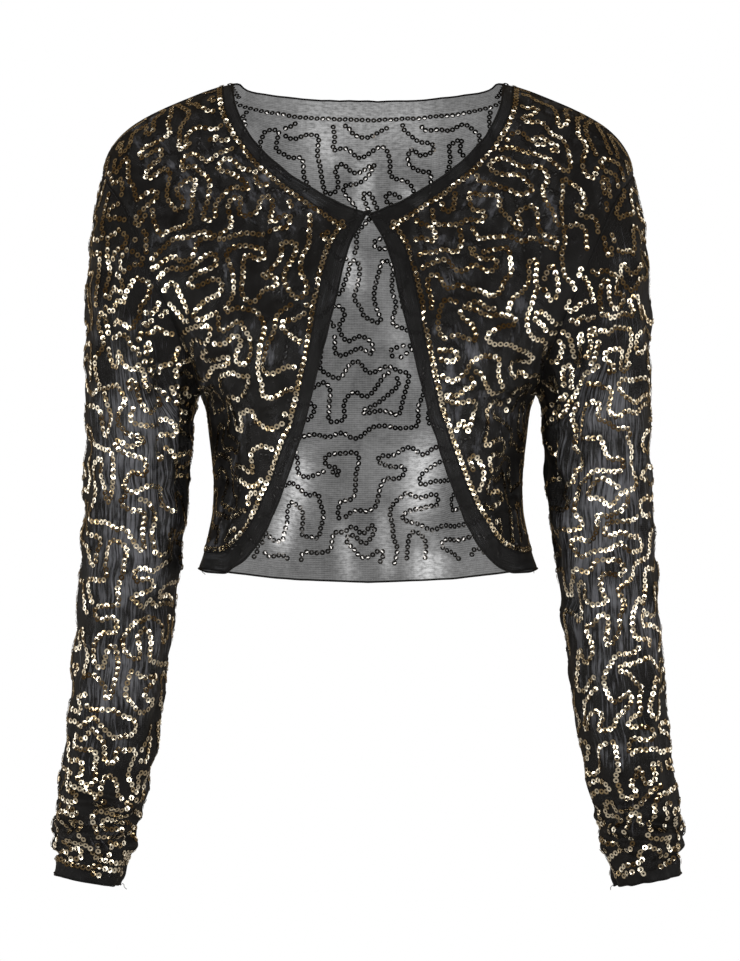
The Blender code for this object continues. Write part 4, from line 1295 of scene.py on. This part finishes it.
# The cut. Each cloth stands in for one panel or band, and is attached to the body with its sequins or
# rolled edge, while the part's own solid is hidden. The table gives the size of the piece of net that
# shows, which the loop reads but does not use: bands are folded, so theirs is the folded strip.
CUT = {
    # node: width, length, area of the cut
    "back_panel": (0.45, 0.42, 0.146),
    "front_panel": (0.22, 0.38, 0.049),
    "sleeve": (0.36, 0.63, 0.142),
    "back_neck_band": (0.25, 0.022, 0.0045),
    "back_hem_band": (0.28, 0.017, 0.0045),
    "neck_band": (0.16, 0.013, 0.0018),
    "front_band": (0.37, 0.015, 0.0049),
    "cuff_band": (0.18, 0.010, 0.0016),
}
panels = {"back_panel": back}
for side in flip:
    panels[f"front_panel_{side}"] = fronts[side]
    panels[f"sleeve_{side}"] = sleeves[side]
for node, cloth in {**panels, **bands}.items():
    worn_with = [sequins[node]] if node in sequins else [edges[node]]
    width, length, area = CUT[node.removesuffix("_left").removesuffix("_right")]
    for item in (cloth, *worn_with):
        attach(item, "root")
    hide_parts(node)
for item in [*seams.values(), *threads, stitches]:
    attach(item, "root")

# Studio. White ground, as the garment is cut out on white, a pale floor well below it, soft lights to
# both sides and above, and small ones in front that make a ring glint here and there.
STAND_OFF = 3.5
VIEW_X, VIEW_Z = 0.0016, -0.3148
SENSOR_HEIGHT, PICTURE_HEIGHT = 36, 0.7688
camera = bpy.data.objects.new("camera", bpy.data.cameras.new("camera"))
camera.location = (VIEW_X, -STAND_OFF, VIEW_Z)
camera.rotation_euler = (math.radians(90), 0, 0)
camera.data.lens = SENSOR_HEIGHT * STAND_OFF / PICTURE_HEIGHT
bpy.context.collection.objects.link(camera)
bpy.context.scene.camera = camera
bpy.context.scene.view_settings.view_transform = "Standard"

world = bpy.data.worlds.new("white_studio")
world.use_nodes = True
bpy.context.scene.world = world
tree = world.node_tree
ground = tree.nodes["Background"]
ground.inputs["Color"].default_value = (1, 1, 1, 1)
ground.inputs["Strength"].default_value = 1.0
around_it = add_node(tree, "ShaderNodeTexCoord").outputs["Generated"]
split = add_node(tree, "ShaderNodeSeparateXYZ", {0: around_it})
depth = stretch(tree, split.outputs["Y"], 0.09, 0.2, -1.0, 1.0)
room = add_node(tree, "ShaderNodeBackground", {"Color": linear("ffdcaa"), "Strength": depth})
seen = add_node(tree, "ShaderNodeLightPath").outputs["Is Camera Ray"]
both = add_node(tree, "ShaderNodeMixShader", {0: seen, 1: room.outputs[0], 2: ground.outputs[0]})
tree.links.new(both.outputs[0], tree.nodes["World Output"].inputs["Surface"])

LIGHTS = (
    # name, azimuth, elevation, distance, width, height, watts
    ("left_low_softbox", -84, -8, 2.4, 0.9, 1.2, 5),
    ("right_low_softbox", 84, -8, 2.4, 0.9, 1.2, 5),
    ("left_bust_light", -48, -13, 2.6, 1.4, 0.8, 36),
    ("right_bust_light", 48, -13, 2.6, 1.4, 0.8, 36),
    ("left_high_softbox", -42, 50, 2.3, 0.5, 0.4, 4),
    ("right_high_softbox", 42, 50, 2.3, 0.5, 0.4, 4),
    ("low_front_softbox", 0, -12, 3.0, 1.2, 0.5, 3),
    ("front_light", 4, -9, 3.0, 0.5, 0.3, 1.5),
    ("low_left_spark", -8, -9, 3.0, 0.3, 0.2, 3),
    ("low_right_spark", 7, -10, 3.0, 0.3, 0.2, 3),
    ("high_spark", 1, 9, 3.0, 0.4, 0.2, 6),
    ("overhead_softbox", 0, 84, 2.1, 1.4, 0.4, 6),
    ("left_rim_softbox", -112, 4, 2.4, 0.6, 1.2, 6),
    ("right_rim_softbox", 112, 4, 2.4, 0.6, 1.2, 6),
)
aim = mathutils.Vector((0, 0, -0.3))
for name, azimuth, elevation, distance, width, height, watts in LIGHTS:
    light = bpy.data.lights.new(name, "AREA")
    light.shape = "RECTANGLE"
    light.size, light.size_y, light.energy = width, height, watts
    turned, raised = math.radians(azimuth), math.radians(elevation)
    away = mathutils.Vector((math.sin(turned) * math.cos(raised), -math.cos(turned) * math.cos(raised),
                             math.sin(raised)))
    lamp = bpy.data.objects.new(name, light)
    lamp.location = aim + away * distance
    lamp.rotation_euler = away.to_track_quat("Z", "Y").to_euler()
    bpy.context.collection.objects.link(lamp)

bpy.ops.mesh.primitive_plane_add(size=4.4, location=(0, 0, -0.95))
floor = bpy.context.object
floor.name = "floor"
floor_paint, _, _ = new_material("pale_floor", "f4f4f2", roughness=0.8)
floor.data.materials.append(floor_paint)
